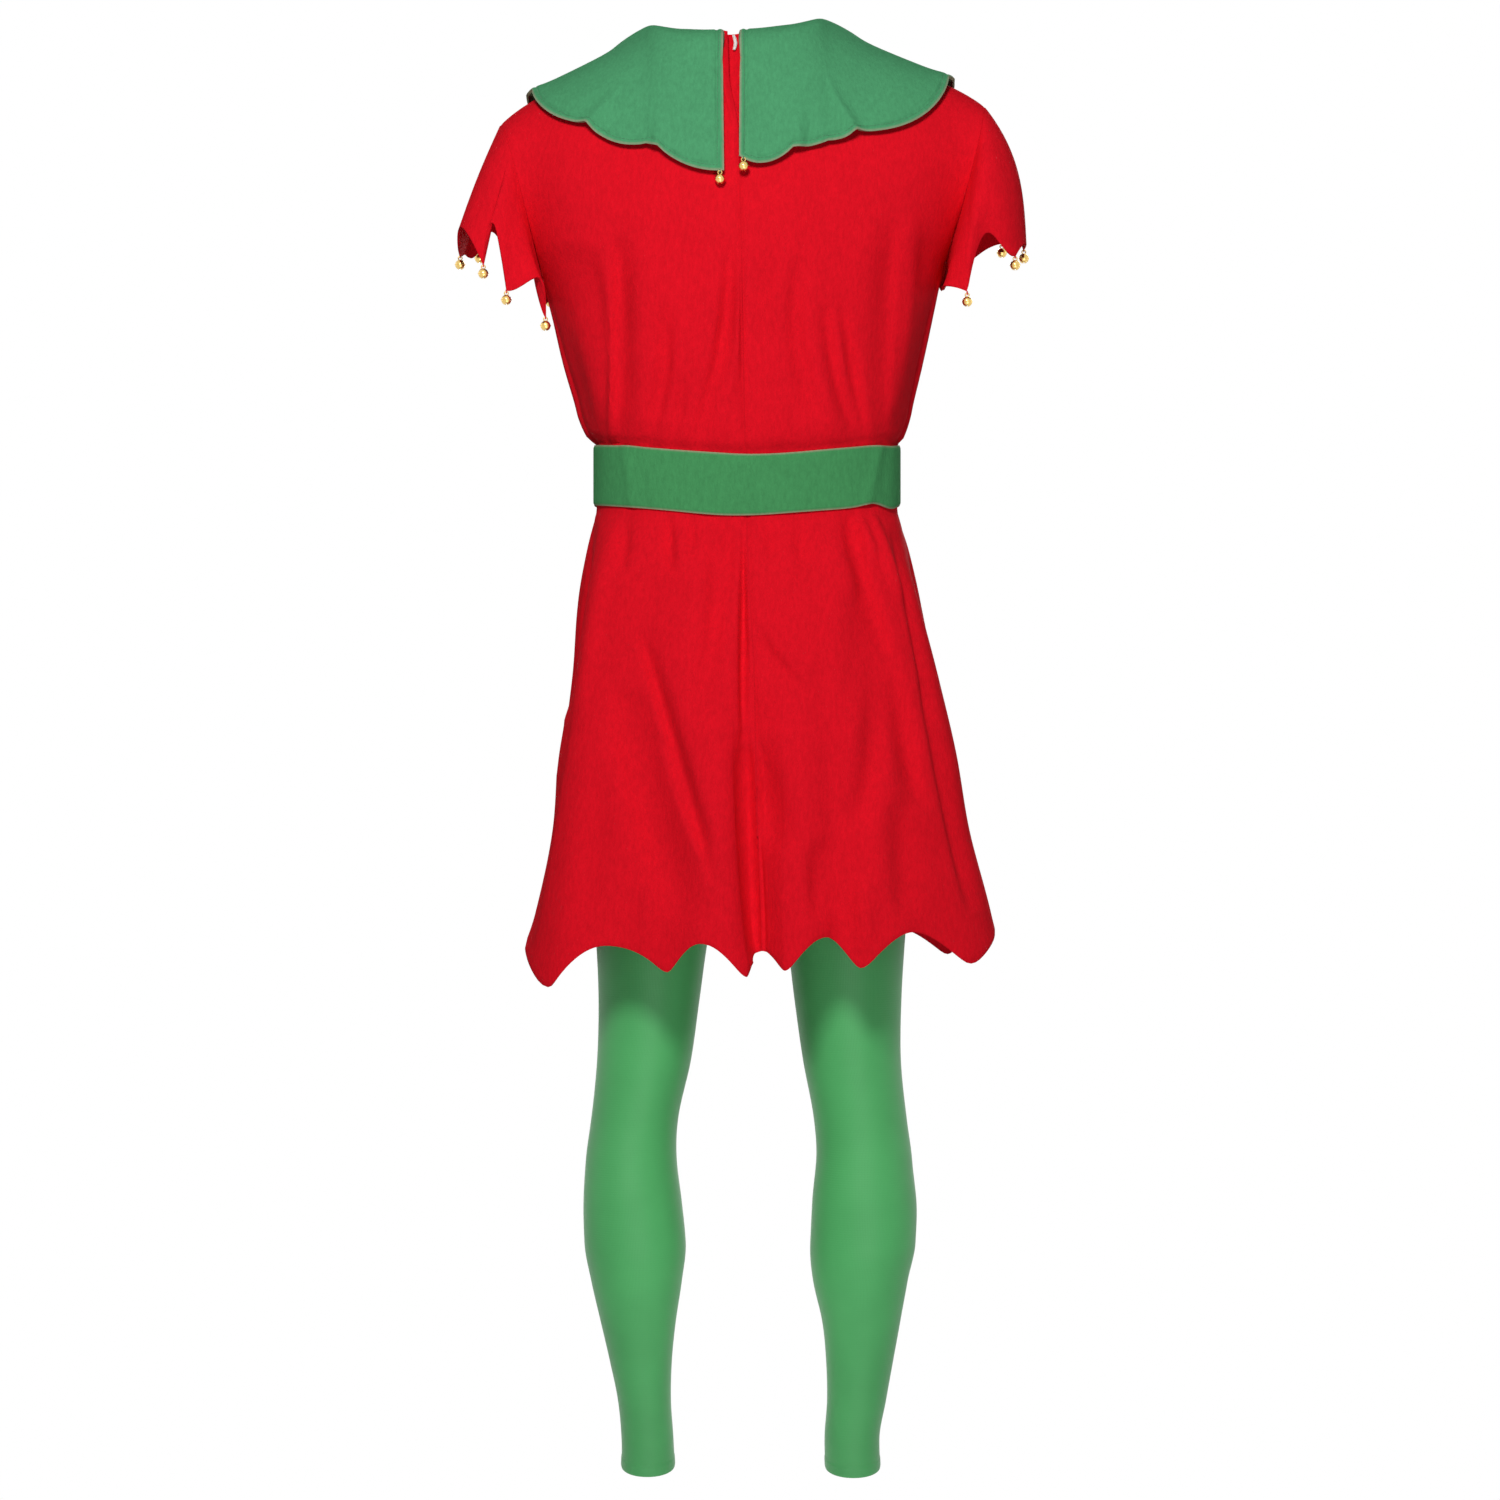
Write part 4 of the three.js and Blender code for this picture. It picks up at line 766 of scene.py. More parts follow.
def crease_depth(x, z, table):
    """How far a table's creases move the cloth at (x, z)."""
    total = np.zeros_like(x)
    for crease in table.rows():
        t = np.linspace(0, 1, 17)
        curve = [
            (1 - t) ** 2 * crease[a + "0"] + 2 * t * (1 - t) * crease[a + "1"] + t**2 * crease[a + "2"]
            for a in "xz"
        ]
        nearest = np.full_like(x, 1e9)
        along = np.zeros_like(x)
        signed = np.zeros_like(x)
        for i in range(len(t) - 1):
            ax, az = curve[0][i], curve[1][i]
            dx, dz = curve[0][i + 1] - ax, curve[1][i + 1] - az
            share = np.clip(((x - ax) * dx + (z - az) * dz) / (dx * dx + dz * dz), 0, 1)
            off_x, off_z = x - ax - share * dx, z - az - share * dz
            distance = np.hypot(off_x, off_z)
            closer = distance < nearest
            nearest = np.where(closer, distance, nearest)
            along = np.where(closer, lerp(t[i], t[i + 1], share), along)
            signed = np.where(closer, np.sign(off_x) * distance, signed)
        width = crease["width"] * (1 + crease["lean"] * np.tanh(-signed / crease["width"]))
        fade = above(np.sin(math.pi * along), 0.7)
        total += crease["out"] * np.exp(-((nearest / width) ** 2)) * fade
    return total


def cloth_piece(name, grid, thickness, finish, flat, ring_from=None, flip=False, rim_width=0.0014,
                rim_top=False):
    """A wall of cloth. The grid is its outer side, and the inner side lies one thickness in. The point
    attribute rim is 1 on its cut edges and 0 from rim_width inward."""
    rows, columns = grid.shape[:2]
    normals = grid_normals(grid, ring_from) * (-1 if flip else 1)
    inner = grid - normals * thickness
    outside = np.arange(rows * columns).reshape(rows, columns)
    inside = outside + rows * columns
    faces = []

    def strip(a, b, c, d):
        faces.append(np.stack([side.ravel() for side in (a, b, c, d)], axis=-1))

    strip(outside[:-1, :-1], outside[1:, :-1], outside[1:, 1:], outside[:-1, 1:])
    strip(inside[:-1, :-1], inside[:-1, 1:], inside[1:, 1:], inside[1:, :-1])
    strip(outside[0, :-1], outside[0, 1:], inside[0, 1:], inside[0, :-1])
    strip(outside[-1, :-1], inside[-1, :-1], inside[-1, 1:], outside[-1, 1:])
    split = rows if ring_from is None else ring_from + 1
    strip(outside[: split - 1, 0], inside[: split - 1, 0], inside[1:split, 0], outside[1:split, 0])
    strip(outside[: split - 1, -1], outside[1:split, -1], inside[1:split, -1], inside[: split - 1, -1])
    faces = np.concatenate(faces)
    if flip:
        faces = faces[:, ::-1]
    mesh = bpy.data.meshes.new(name)
    mesh.from_pydata(np.concatenate([grid, inner]).reshape(-1, 3).tolist(), [], faces.tolist())
    layer = mesh.uv_layers.new(name="cloth")
    v, u = np.meshgrid(np.linspace(0, flat[1], rows), np.linspace(0, flat[0], columns), indexing="ij")
    laid = np.tile(np.stack([u.ravel(), v.ravel()], axis=-1), (2, 1))
    loops = np.zeros(len(mesh.loops), int)
    mesh.loops.foreach_get("vertex_index", loops)
    layer.data.foreach_set("uv", laid[loops].ravel())
    rim = mesh.attributes.new("rim", "FLOAT", "POINT")
    near = lengths_from(grid, 0, last=True)
    if ring_from is None:
        near = np.minimum(near, lengths_from_sides(grid))
    if rim_top:
        near = np.minimum(near, lengths_from(grid, 0))
    edge = smooth(rim_width, 0.2 * rim_width, near).ravel()
    rim.data.foreach_set("value", np.concatenate([edge, edge]))
    piece = linked(name, mesh)
    weld(mesh)
    mesh.materials.append(finish)
    select_only(piece)
    bpy.ops.object.shade_smooth_by_angle(angle=EDGE_ANGLE)
    return piece


def linked(name, data):
    piece = bpy.data.objects.new(name, data)
    bpy.context.scene.collection.objects.link(piece)
    return piece


def weld(mesh):
    shape = bmesh.new()
    shape.from_mesh(mesh)
    bmesh.ops.remove_doubles(shape, verts=shape.verts, dist=1e-6)
    shape.to_mesh(mesh)
    shape.free()


def select_only(*pieces):
    bpy.ops.object.select_all(action="DESELECT")
    for piece in pieces:
        piece.select_set(True)
    bpy.context.view_layer.objects.active = pieces[0]


def apply_modifiers(piece):
    select_only(piece)
    for modifier in list(piece.modifiers):
        bpy.ops.object.modifier_apply(modifier=modifier.name)


def belong(piece, slot, *nodes):
    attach(piece, "root")
    if nodes:
        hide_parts(*nodes)


# Shader maths, written as expressions.
class Socket:
    """A node's output that can be added to and multiplied."""

    def __init__(self, finish, socket):
        self.finish = finish
        self.socket = socket

    def __add__(self, other):
        return self.finish.node("ShaderNodeMath", {"operation": "ADD"}, {0: self, 1: other})

    def __mul__(self, other):
        return self.finish.node("ShaderNodeMath", {"operation": "MULTIPLY"}, {0: self, 1: other})


class Finish:
    """A material and its Principled shader, with one method for any other node."""

    def __init__(self, name, **constants):
        self.material = bpy.data.materials.new(name)
        self.material.use_nodes = True
        self.tree = self.material.node_tree
        self.tree.nodes.clear()
        output = self.tree.nodes.new("ShaderNodeOutputMaterial")
        self.shader = self.tree.nodes.new("ShaderNodeBsdfPrincipled")
        self.tree.links.new(self.shader.outputs[0], output.inputs[0])
        for socket, value in constants.items():
            self.shader.inputs[socket.replace("_", " ").title()].default_value = value

    def node(self, kind, settings=None, inputs=None, output=0):
        node = self.tree.nodes.new(kind)
        for key, value in (settings or {}).items():
            setattr(node, key, value)
        for key, value in (inputs or {}).items():
            self.feed(node.inputs[key], value)
        return Socket(self, node.outputs[output])

    def feed(self, socket, value):
        if isinstance(value, Socket):
            self.tree.links.new(value.socket, socket)
        else:
            socket.default_value = value

    def drive(self, name, value):
        self.feed(self.shader.inputs[name], value)

    def place(self, stretch=(1, 1, 1), output=3):
        """Object coordinates (or the piece's own UV map, output 2), stretched."""
        spot = self.node("ShaderNodeTexCoord", output=output)
        return self.node("ShaderNodeMapping", inputs={"Vector": spot, "Scale": stretch})

    def noise(self, spot, scale, detail=2.0, rough=0.5):
        inputs = {"Vector": spot, "Scale": scale, "Detail": detail, "Roughness": rough}
        return self.node("ShaderNodeTexNoise", inputs=inputs)

    def blend(self, amount, a, b):
        return self.node("ShaderNodeMix", {"data_type": "RGBA"}, {0: amount, 6: a, 7: b}, output=2)

    def between(self, value, low, high):
        """A value spread so that low becomes 0 and high becomes 1."""
        inputs = {"Value": value, "From Min": low, "From Max": high}
        return self.node("ShaderNodeMapRange", inputs=inputs)

    def raise_surface(self, height, distance):
        inputs = {"Height": height, "Distance": distance, "Strength": 1.0}
        self.drive("Normal", self.node("ShaderNodeBump", inputs=inputs))


def shade(colour, factor):
    return tuple(min(1.0, c * factor) for c in colour[:3]) + (1.0,)


def felt_finish(name, colour, nap, cut):
    """Brushed felt: a short matt nap with faint mottling, and flecks of the cut colour along its cut edges.
    On the red felt that colour is a darker red, painted shade on its seams, hem and cuffs.
    """
    felt = Finish(name, roughness=0.92, sheen_weight=0.08, sheen_roughness=0.5)
    felt.shader.inputs["Sheen Tint"].default_value = shade(colour, 1.3)
    felt.shader.inputs["Specular IOR Level"].default_value = 0.08
    spot = felt.place()
    brushed = felt.place((1.0, 1.0, 0.35))
    mottle = felt.noise(spot, 26, 3, 0.6)
    pile = felt.noise(brushed, 320, 3, 0.65)
    fibre = felt.noise(brushed, 1500, 2, 0.6)
    tone = felt.between(mottle * 0.16 + pile * 0.5 + fibre * 0.34, 0.38, 0.62)
    cloth = felt.blend(tone, shade(colour, 0.88), shade(colour, 1.11))
    rim = felt.node("ShaderNodeAttribute", {"attribute_name": "rim"}, output=2)
    # Cut edges blend to the cut colour: the green felts' real cream edge, and on the red felt a darker red
    # that is painted shade along its seams, hem and cuffs.
    felt.drive("Base Color", felt.blend(rim * (pile * 0.6 + 0.3), cloth, shade(cut, 1.0)))
    felt.raise_surface(pile * 0.6 + fibre * 0.4, nap)
    return felt.material


def knit_finish(name, colour):
    """Smooth stretch knit: fine upright wales with a soft sheen, darkened towards the ankles as painted
    shade.
    """
    knit = Finish(name, roughness=0.52, sheen_weight=0.15, sheen_roughness=0.4)
    knit.shader.inputs["Specular IOR Level"].default_value = 0.32
    yarn = knit.place((1, 1, 1), output=2)
    wales = knit.node("ShaderNodeTexWave", {"bands_direction": "X"}, {"Vector": yarn, "Scale": 180.0})
    courses = knit.node("ShaderNodeTexWave", {"bands_direction": "Y"}, {"Vector": yarn, "Scale": 150.0})
    cloud = knit.noise(knit.place(), 18, 2)
    tone = knit.between(cloud, 0.3, 0.7)
    height = knit.node("ShaderNodeSeparateXYZ", {}, {"Vector": knit.place()}, output=2)
    # Towards the ankles the knit blends to a darker copy of its colour: painted shade for the light that
    # falls off down the legs. The lighter copy above is the knit's own colour.
    ankle_painted_shade = knit.blend(tone, shade(colour, 0.60), shade(colour, 0.68))
    stretched = knit.blend(tone, shade(colour, 0.96), shade(colour, 1.06))
    knit.drive("Base Color", knit.blend(knit.between(height, -1.44, -1.24), ankle_painted_shade, stretched))
    knit.raise_surface(wales * 0.6 + courses * 0.4, 0.00008)
    return knit.material


def brass_finish(name, colour):
    """Polished thin brass, a little uneven in colour and roughness."""
    brass = Finish(name, metallic=1.0, roughness=0.22)
    cloud = brass.noise(brass.place(), 260, 3)
    brass.drive("Base Color", brass.blend(cloud, shade(colour, 0.82), shade(colour, 1.1)))
    brass.drive("Roughness", cloud * 0.25 + 0.12)
    return brass.material


def thread_finish(name, colour):
    """Sewing thread: two plies twisted together."""
    thread = Finish(name, roughness=0.6, sheen_weight=0.3)
    twist = thread.noise(thread.place(), 2400, 1)
    thread.drive("Base Color", thread.blend(twist, shade(colour, 0.8), shade(colour, 1.15)))
    return thread.material


def tape_finish(name, colour):
    """Woven hook-and-loop tape: a dense mat of tiny loops."""
    tape = Finish(name, roughness=0.8)
    loops = tape.noise(tape.place(), 1800, 2)
    tape.drive("Base Color", tape.blend(loops, shade(colour, 0.85), shade(colour, 1.0)))
    tape.raise_surface(loops, 0.0003)
    return tape.material


MATERIALS = {}


def material(name, maker, *facts):
    if name not in MATERIALS:
        MATERIALS[name] = maker(name, *facts)
    return MATERIALS[name]


# Settings that a user would change.
def colour_setting(name, description, default):
    return FloatVectorProperty(name=name, description=description, default=default, size=3,
                               subtype="COLOR", min=0, max=1)


class CostumeCloth(bpy.types.PropertyGroup):
    red: colour_setting("Red felt", "Colour of the tunic", (0.78, 0.005, 0.016))
    green: colour_setting("Green felt", "Colour of the collar", (0.080, 0.345, 0.155))
    # The belt's colour is the collar's green felt darkened: painted shade for the lesser light on the belt.
    belt: colour_setting("Belt felt", "Colour of the belt", (0.064, 0.300, 0.105))
    rim: colour_setting("Cut edge", "Colour of the green felt's cut edges", (0.42, 0.36, 0.26))
    knit: colour_setting("Green knit", "Colour of the leggings", (0.090, 0.46, 0.142))
    white: colour_setting("White tape", "Colour of the closure tab", (0.86, 0.84, 0.80))
    crease: FloatProperty(name="Crease depth", description="How deep the fine creases are", default=2.6,
                          min=0, max=3)
    nap: FloatProperty(name="Nap height", description="Relief of the brushed felt", default=0.0008,
                       min=0, max=0.003, unit="LENGTH")
    columns: IntProperty(name="Columns per tooth", description="Fineness of the cloth", default=42,
                         min=8, max=60)


class CostumeBells(bpy.types.PropertyGroup):
    colour: colour_setting("Brass", "Colour of the bells", (0.83, 0.58, 0.20))
    sheet: FloatProperty(name="Sheet", description="Thickness of a bell's wall", default=0.0004, min=0.0001,
                         max=0.001, unit="LENGTH")
    slot: FloatProperty(name="Slot", description="Width of the cross-shaped slots", default=0.0011,
                        min=0.0003, max=0.003, unit="LENGTH")


class CostumeStage(bpy.types.PropertyGroup):
    floor: FloatProperty(name="Floor height", description="Height of the floor", default=-1.53,
                         unit="LENGTH")
    key: FloatProperty(name="Key light", description="Power of the main light in watts", default=38.0,
                       min=0)
    fill: FloatProperty(name="Fill light", description="Power of the low light in watts", default=15.0,
                        min=0)
    front: FloatProperty(name="Front light", description="Power of the light on the hidden front in watts",
                         default=48.0, min=0)
    side: FloatProperty(name="Side lights", description="Power of each light at the sides in watts",
                        default=9.0, min=0)
    sky: FloatProperty(name="Surrounding light", description="Strength of the light from all round",
                       default=0.07, min=0)
    distance: FloatProperty(name="Camera distance", description="From the costume's middle", default=4.0,
                            min=1, unit="LENGTH")
    lens: FloatProperty(name="Lens", description="Focal length", default=96.0, min=20, max=300)


def red_felt():
    cloth = bpy.context.scene.costume_cloth
    # The red felt's cut edges, at its seams, hem and cuffs, take the red at 0.8: painted shade.
    return material("red_brushed_felt", felt_finish, cloth.red, cloth.nap, shade(cloth.red, 0.8))


def green_felt():
    cloth = bpy.context.scene.costume_cloth
    return material("green_brushed_felt", felt_finish, cloth.green, cloth.nap, cloth.rim)


# The belt's felt is the green felt in a darker tone: painted shade.
def belt_felt_in_painted_shade():
    cloth = bpy.context.scene.costume_cloth
    return material("green_belt_felt", felt_finish, cloth.belt, cloth.nap, cloth.rim)


def green_knit():
    return material("green_stretch_knit", knit_finish, bpy.context.scene.costume_cloth.knit)


# The tunic's three panels.
PANELS = {
    "back_left": {"span": (-HALF, 0.0), "flat": (0.31, 0.95), "area": 0.26},
    "back_right": {"span": (0.0, HALF), "flat": (0.31, 0.95), "area": 0.25},
    "front": {"span": (HALF, 3 * HALF), "flat": (0.62, 0.96), "area": 0.46},
}
# How much of a tooth and of the yoke a panel stops short of its seams.
SIDE_GAP = 0.0001
TOP_GAP = 0.0004
# The deepest that a crease can be, and the level near which only about half of that is left.
DEEPEST = 0.012
WAIST_LEVEL = -0.460
# Rows of the yoke, of the bodice and skirt and of the hem, and how fine the front is beside the back.
UPPER_ROWS = 56
MIDDLE_ROWS = 130
HEM_ROWS = 30
FRONT_FINENESS = 0.7
# The sewn groove's half width, its depth, and its depth over the yoke.
SEWN_WIDTH = 0.0030
SEWN_DEPTH = 0.0014
SEWN_SHALLOW = 0.0004


def beside_slit(name, grid, sewn):
    """Fades the centre groove out along the neck slit, and adds stitching and the two lapped edges."""
    on_left = name == "back_left"
    centre = lengths_from(grid, 1, last=on_left)
    in_slit = smooth(SLIT["depth"] + 0.020, SLIT["depth"] - 0.010, -grid[..., 2])
    upper = smooth(SLIT["depth"] - 0.010, SLIT["depth"] - 0.045, -grid[..., 2])
    sewn = sewn * np.where(centre < 0.02, 1 - in_slit, 1.0)
    sewn = sewn + groove(centre, 0.008, 0.0012, 0.0006) * in_slit
    if on_left:
        return sewn - groove(centre, 0.0055, 0.0045, 0.0030) * upper
    return sewn + groove(centre, 0.014, 0.0120, 0.0040) * upper


def panel_grid(name, per_tooth):
    """A panel of the tunic, with its creases, sewn grooves and rolled hem."""
    on_front = name == "front"
    start, end = PANELS[name]["span"]
    fine = FRONT_FINENESS * per_tooth if on_front else per_tooth
    columns = int((end - start) * fine) + 1
    q = lerp(start + SIDE_GAP, end - SIDE_GAP, closer_at_ends(columns, 0.7))[None, :]
    v = np.concatenate([
        np.linspace(TOP_GAP, 1, UPPER_ROWS, endpoint=False),
        np.linspace(1, 2, MIDDLE_ROWS, endpoint=False),
        np.linspace(2, 3, HEM_ROWS),
    ])[:, None]
    grid = tunic_point(q, v) if on_front else back_point(q, v, name.split("_")[1])
    inland = 1 - smooth(0.62, 0.9, place_of(q[0])[1])
    grid = soften_rows(grid, UPPER_ROWS, 9, 60, inland)

    table = FRONT_CREASES if on_front else BACK_CREASES
    depth = crease_depth(grid[..., 0], grid[..., 2], table) * bpy.context.scene.costume_cloth.crease
    room = lerp(DEEPEST, 0.55 * DEEPEST, smooth(0.14, 0.02, np.abs(grid[..., 2] - WAIST_LEVEL)))
    away = smooth(0, 0.12, np.minimum(np.abs(q - start), np.abs(q - end)))
    grid = grid + grid_normals(grid) * (room * np.tanh(depth / room) * away)[..., None]

    pucker = 1 + 0.35 * np.sin(grid[..., 2] / 0.0021) * np.sin(grid[..., 2] / 0.0131)
    deep = lerp(SEWN_SHALLOW, SEWN_DEPTH, smooth(0.80, 1.05, v))
    if not on_front:
        centre_side = np.abs(q) < HALF / 2
        deep = np.where(centre_side, SEWN_DEPTH, deep)
    above_hem = 1 - smooth(1.86, 2.05, v)
    sewn = groove(lengths_from_sides(grid), 0.0, SEWN_WIDTH, 1.0) * deep * pucker * above_hem
    if not on_front:
        sewn = beside_slit(name, grid, sewn)
    rolled = groove(lengths_from(grid, 0, last=True), 0.0, 0.0022, 0.0010)
    return grid + grid_normals(grid) * (sewn + rolled)[..., None]


class COSTUME_OT_tunic(bpy.types.Operator):
    """Makes the tunic's two back panels and its front panel"""

    bl_idname = "costume.tunic"
    bl_label = "Tunic"

    def execute(self, context):
        for name, facts in PANELS.items():
            grid = panel_grid(name, context.scene.costume_cloth.columns)
            piece = cloth_piece("felt_" + name, grid, WALL["tunic"], red_felt(), facts["flat"])
            belong(piece, "red_felt", "tunic_" + name)
        return {"FINISHED"}


# Columns round a sleeve or the waistband, and rows down a sleeve.
ROUND = 181
SLEEVE_ROWS = 36


class COSTUME_OT_sleeves(bpy.types.Operator):
    """Makes the two short sleeves with their pointed cuffs"""

    bl_idname = "costume.sleeves"
    bl_label = "Sleeves"

    def execute(self, context):
        for side in ("left", "right"):
            u = np.linspace(0, 1, ROUND)[None, :]
            v = np.linspace(0, 1, SLEEVE_ROWS)[:, None]
            grid = sleeve_point(side, u, v)
            grid[:, -1] = grid[:, 0]
            piece = cloth_piece("felt_sleeve_" + side, grid, WALL["tunic"], red_felt(), (0.40, 0.14),
                                ring_from=0, flip=side == "right")
            belong(piece, "red_felt", "sleeve_" + side)
        return {"FINISHED"}


# How far the collar's topstitching runs from its edge.
TOPSTITCH = 0.0062


def collar_seam(grid, inset):
    """The line of sewing on the collar: down one split edge, round the outer edge, and up the other."""
    up = lengths_from(grid, 0, last=True)
    rows = [int(np.argmin(np.abs(up[:, j] - inset))) for j in range(grid.shape[1])]
    along = [lengths_from(grid, 1), lengths_from(grid, 1, last=True)]
    ends = [int(np.argmin(np.abs(side[grid.shape[0] // 2] - inset))) for side in along]
    first = [grid[i, ends[0]] for i in range(3, rows[ends[0]])]
    middle = [grid[rows[j], j] for j in range(ends[0], ends[1] + 1)]
    last = [grid[i, ends[1]] for i in range(rows[ends[1]], 2, -1)]
    return np.array(first + middle + last)


def seam_thread(name, line, stitch=0.0030, gap=0.0008, radius=0.00028):
    """A row of stitches along a line: each a short round thread that dips into the cloth at its ends."""
    travelled = np.concatenate([[0], np.cumsum(np.linalg.norm(np.diff(line, axis=0), axis=-1))])
    starts = np.arange(0.001, travelled[-1] - stitch, stitch + gap)
    share = np.linspace(0, 1, 4)
    spot = starts[:, None] + stitch * share
    middle = np.stack([np.interp(spot, travelled, line[:, i]) for i in range(3)], axis=-1)
    ahead = unit(np.gradient(middle, axis=1))
    outward = unit(middle * (1, 1, 0) + (0, 0, 0.04))
    side = unit(np.cross(ahead, outward))
    outward = np.cross(side, ahead)
    middle = middle + outward * (0.0002 * np.sin(math.pi * share) - 0.0001)[None, :, None]
    turn = np.radians(np.arange(6) * 60)[:, None]
    round_it = side[:, :, None] * np.cos(turn) + outward[:, :, None] * np.sin(turn)
    ring = middle[:, :, None] + radius * round_it
    index = np.arange(ring[..., 0].size).reshape(ring.shape[:-1])
    after = np.roll(index, -1, axis=2)
    walls = np.stack([index[:, :-1], after[:, :-1], after[:, 1:], index[:, 1:]], axis=-1).reshape(-1, 4)
    caps = [list(ends) for ends in index[:, 0, ::-1]] + [list(ends) for ends in index[:, -1]]
    mesh = bpy.data.meshes.new(name)
    mesh.from_pydata(ring.reshape(-1, 3).tolist(), [], walls.tolist() + caps)
    piece = linked(name, mesh)
    colour = shade(bpy.context.scene.costume_cloth.green, 0.45)
    mesh.materials.append(material("green_thread", thread_finish, colour))
    select_only(piece)
    bpy.ops.object.shade_smooth_by_angle(angle=EDGE_ANGLE)
    return piece


class COSTUME_OT_collar(bpy.types.Operator):
    """Makes the wide scalloped collar, split at the back"""

    bl_idname = "costume.collar"
    bl_label = "Collar"

    def execute(self, context):
        degrees = lerp(0.3, 359.7, closer_at_ends(520, 0.6))[None, :]
        k = np.concatenate([np.linspace(0, 0.86, 36, endpoint=False), np.linspace(0.86, 1, 26)])[:, None]
        grid = soften(collar_point(degrees, k), 60, 0.5 * smooth(0.97, 0.8, k[:, 0]))
        inset = np.minimum(lengths_from(grid, 0, last=True), lengths_from_sides(grid))
        wavy = 1 + 0.3 * np.sin(np.radians(degrees) * 61) * np.sin(np.radians(degrees) * 17)
        shape = groove(inset, TOPSTITCH, 0.0016, 0.0014) * wavy + groove(inset, 0.0, 0.0016, 0.0010)
        for pinch in COLLAR_PINCHES.rows():
            line = pinch["at"] + pinch["lean"] * (1 - k)
            ridge = np.exp(-(((degrees - line) / pinch["width"]) ** 2))
            shape = shape + pinch["out"] * ridge * smooth(1 - pinch["reach"], 0.97, k)
        grid = grid + grid_normals(grid) * shape[..., None]
        piece = cloth_piece("felt_collar", grid, WALL["collar"], green_felt(), (1.2, 0.18),
                            rim_width=0.0030)
        sewing = seam_thread("collar_topstitch", collar_seam(grid, TOPSTITCH))
        belong(sewing, "green_felt")
        belong(piece, "green_felt", "collar")
        return {"FINISHED"}


class COSTUME_OT_belt(bpy.types.Operator):
    """Makes the belt round the waist, its ends lapped at the front"""

    bl_idname = "costume.belt"
    bl_label = "Belt"

    def execute(self, context):
        degrees = np.linspace(BELT["start"], BELT["start"] + 360 + BELT["lap"], 620)[None, :]
        v = closer_at_ends(34, 0.6)[:, None]
        z = BELT["middle"] + BELT["height"] * (0.5 - v)
        second = smooth(BELT["start"] + 360 - BELT["ramp"], BELT["start"] + 360, degrees)
        out = SEAM + WALL["belt"] + second * (WALL["belt"] + SEAM)
        angle, z, out = np.broadcast_arrays(np.radians(degrees), z, out)
        grid = beside_waist(angle, z, out)
        turned = np.mod(degrees + 180, 360) - 180
        bend = np.zeros(grid.shape[:2])
        for crease in BELT_CREASES.rows():
            line = crease["at"] + crease["slant"] * (v - 0.5)
            bend = bend + crease["out"] * np.exp(-(((turned - line) / crease["width"]) ** 2))
            near = np.exp(-(((turned - crease["at"]) / (2.2 * crease["width"])) ** 2))
            grid[..., 2] += near * lerp(crease["top"], crease["foot"], v)
        sides = np.minimum(lengths_from(grid, 0), lengths_from(grid, 0, last=True))
        bend = bend + groove(sides, 0.0, 0.0018, 0.0010)
        grid = grid + grid_normals(grid) * bend[..., None]
        piece = cloth_piece("felt_belt", grid, WALL["belt"], belt_felt_in_painted_shade(), (0.87, 0.06), rim_width=0.0024,
                            rim_top=True)
        belong(piece, "green_felt", "belt")
        return {"FINISHED"}


# Rows of the waistband, and of a leg above the crotch, below it and in the hem. A leg is closed round from
# the crotch down, and its last rows lie within HEM_REACH of the ankle.
BAND_ROWS = 10
HIP_ROWS = 60
LEG_ROWS = 145
LEG_HEM_ROWS = 27
LEG_COLUMNS = 97
HEM_REACH = 0.026


class COSTUME_OT_leggings(bpy.types.Operator):
    """Makes the two halves of the leggings and their waistband"""

    bl_idname = "costume.leggings"
    bl_label = "Leggings"

    def execute(self, context):
        degrees = np.linspace(0, 360, ROUND)[None, :]
        v = np.linspace(0, 1, BAND_ROWS)[:, None]
        z = BAND["top"] - v * BAND["height"]
        angle, z = np.broadcast_arrays(np.radians(degrees), z)
        grid = beside_waist(angle, z, np.full(z.shape, -WALL["tunic"] - SEAM))
        grid[:, -1] = grid[:, 0]
        band = cloth_piece("knit_waistband", grid, WALL["waistband"], green_knit(), (0.8, 0.03),
                           ring_from=0)
        belong(band, "green_knit", "legging_waistband")
        for side in ("left", "right"):
            top = BAND["top"] - BAND["height"] - SEAM
            z = np.concatenate([
                np.linspace(top, CROTCH["z"], HIP_ROWS, endpoint=False),
                np.linspace(CROTCH["z"], ANKLE[side] + HEM_REACH, LEG_ROWS, endpoint=False),
                np.linspace(ANKLE[side] + HEM_REACH, ANKLE[side], LEG_HEM_ROWS),
            ])[:, None]
            u = np.linspace(0, 1, LEG_COLUMNS)[None, :]
            grid = leg_point(side, u, z)
            grid[HIP_ROWS:, -1] = grid[HIP_ROWS:, 0]
            edge = lengths_from(grid, 0, last=True)
            hem = 0.0005 * smooth(0.0130, 0.0115, edge) + groove(edge, 0.0112, 0.0010, 0.0006)
            hem = hem + groove(edge, 0.0, 0.0012, 0.0005)
            outwards = -1 if side == "right" else 1
            grid = grid + grid_normals(grid, HIP_ROWS) * (hem * outwards)[..., None]
            piece = cloth_piece("knit_leg_" + side, grid, WALL["legging"], green_knit(), (0.4, 1.0),
                                ring_from=HIP_ROWS, flip=side == "right")
            belong(piece, "green_knit", "legging_" + side)
        return {"FINISHED"}


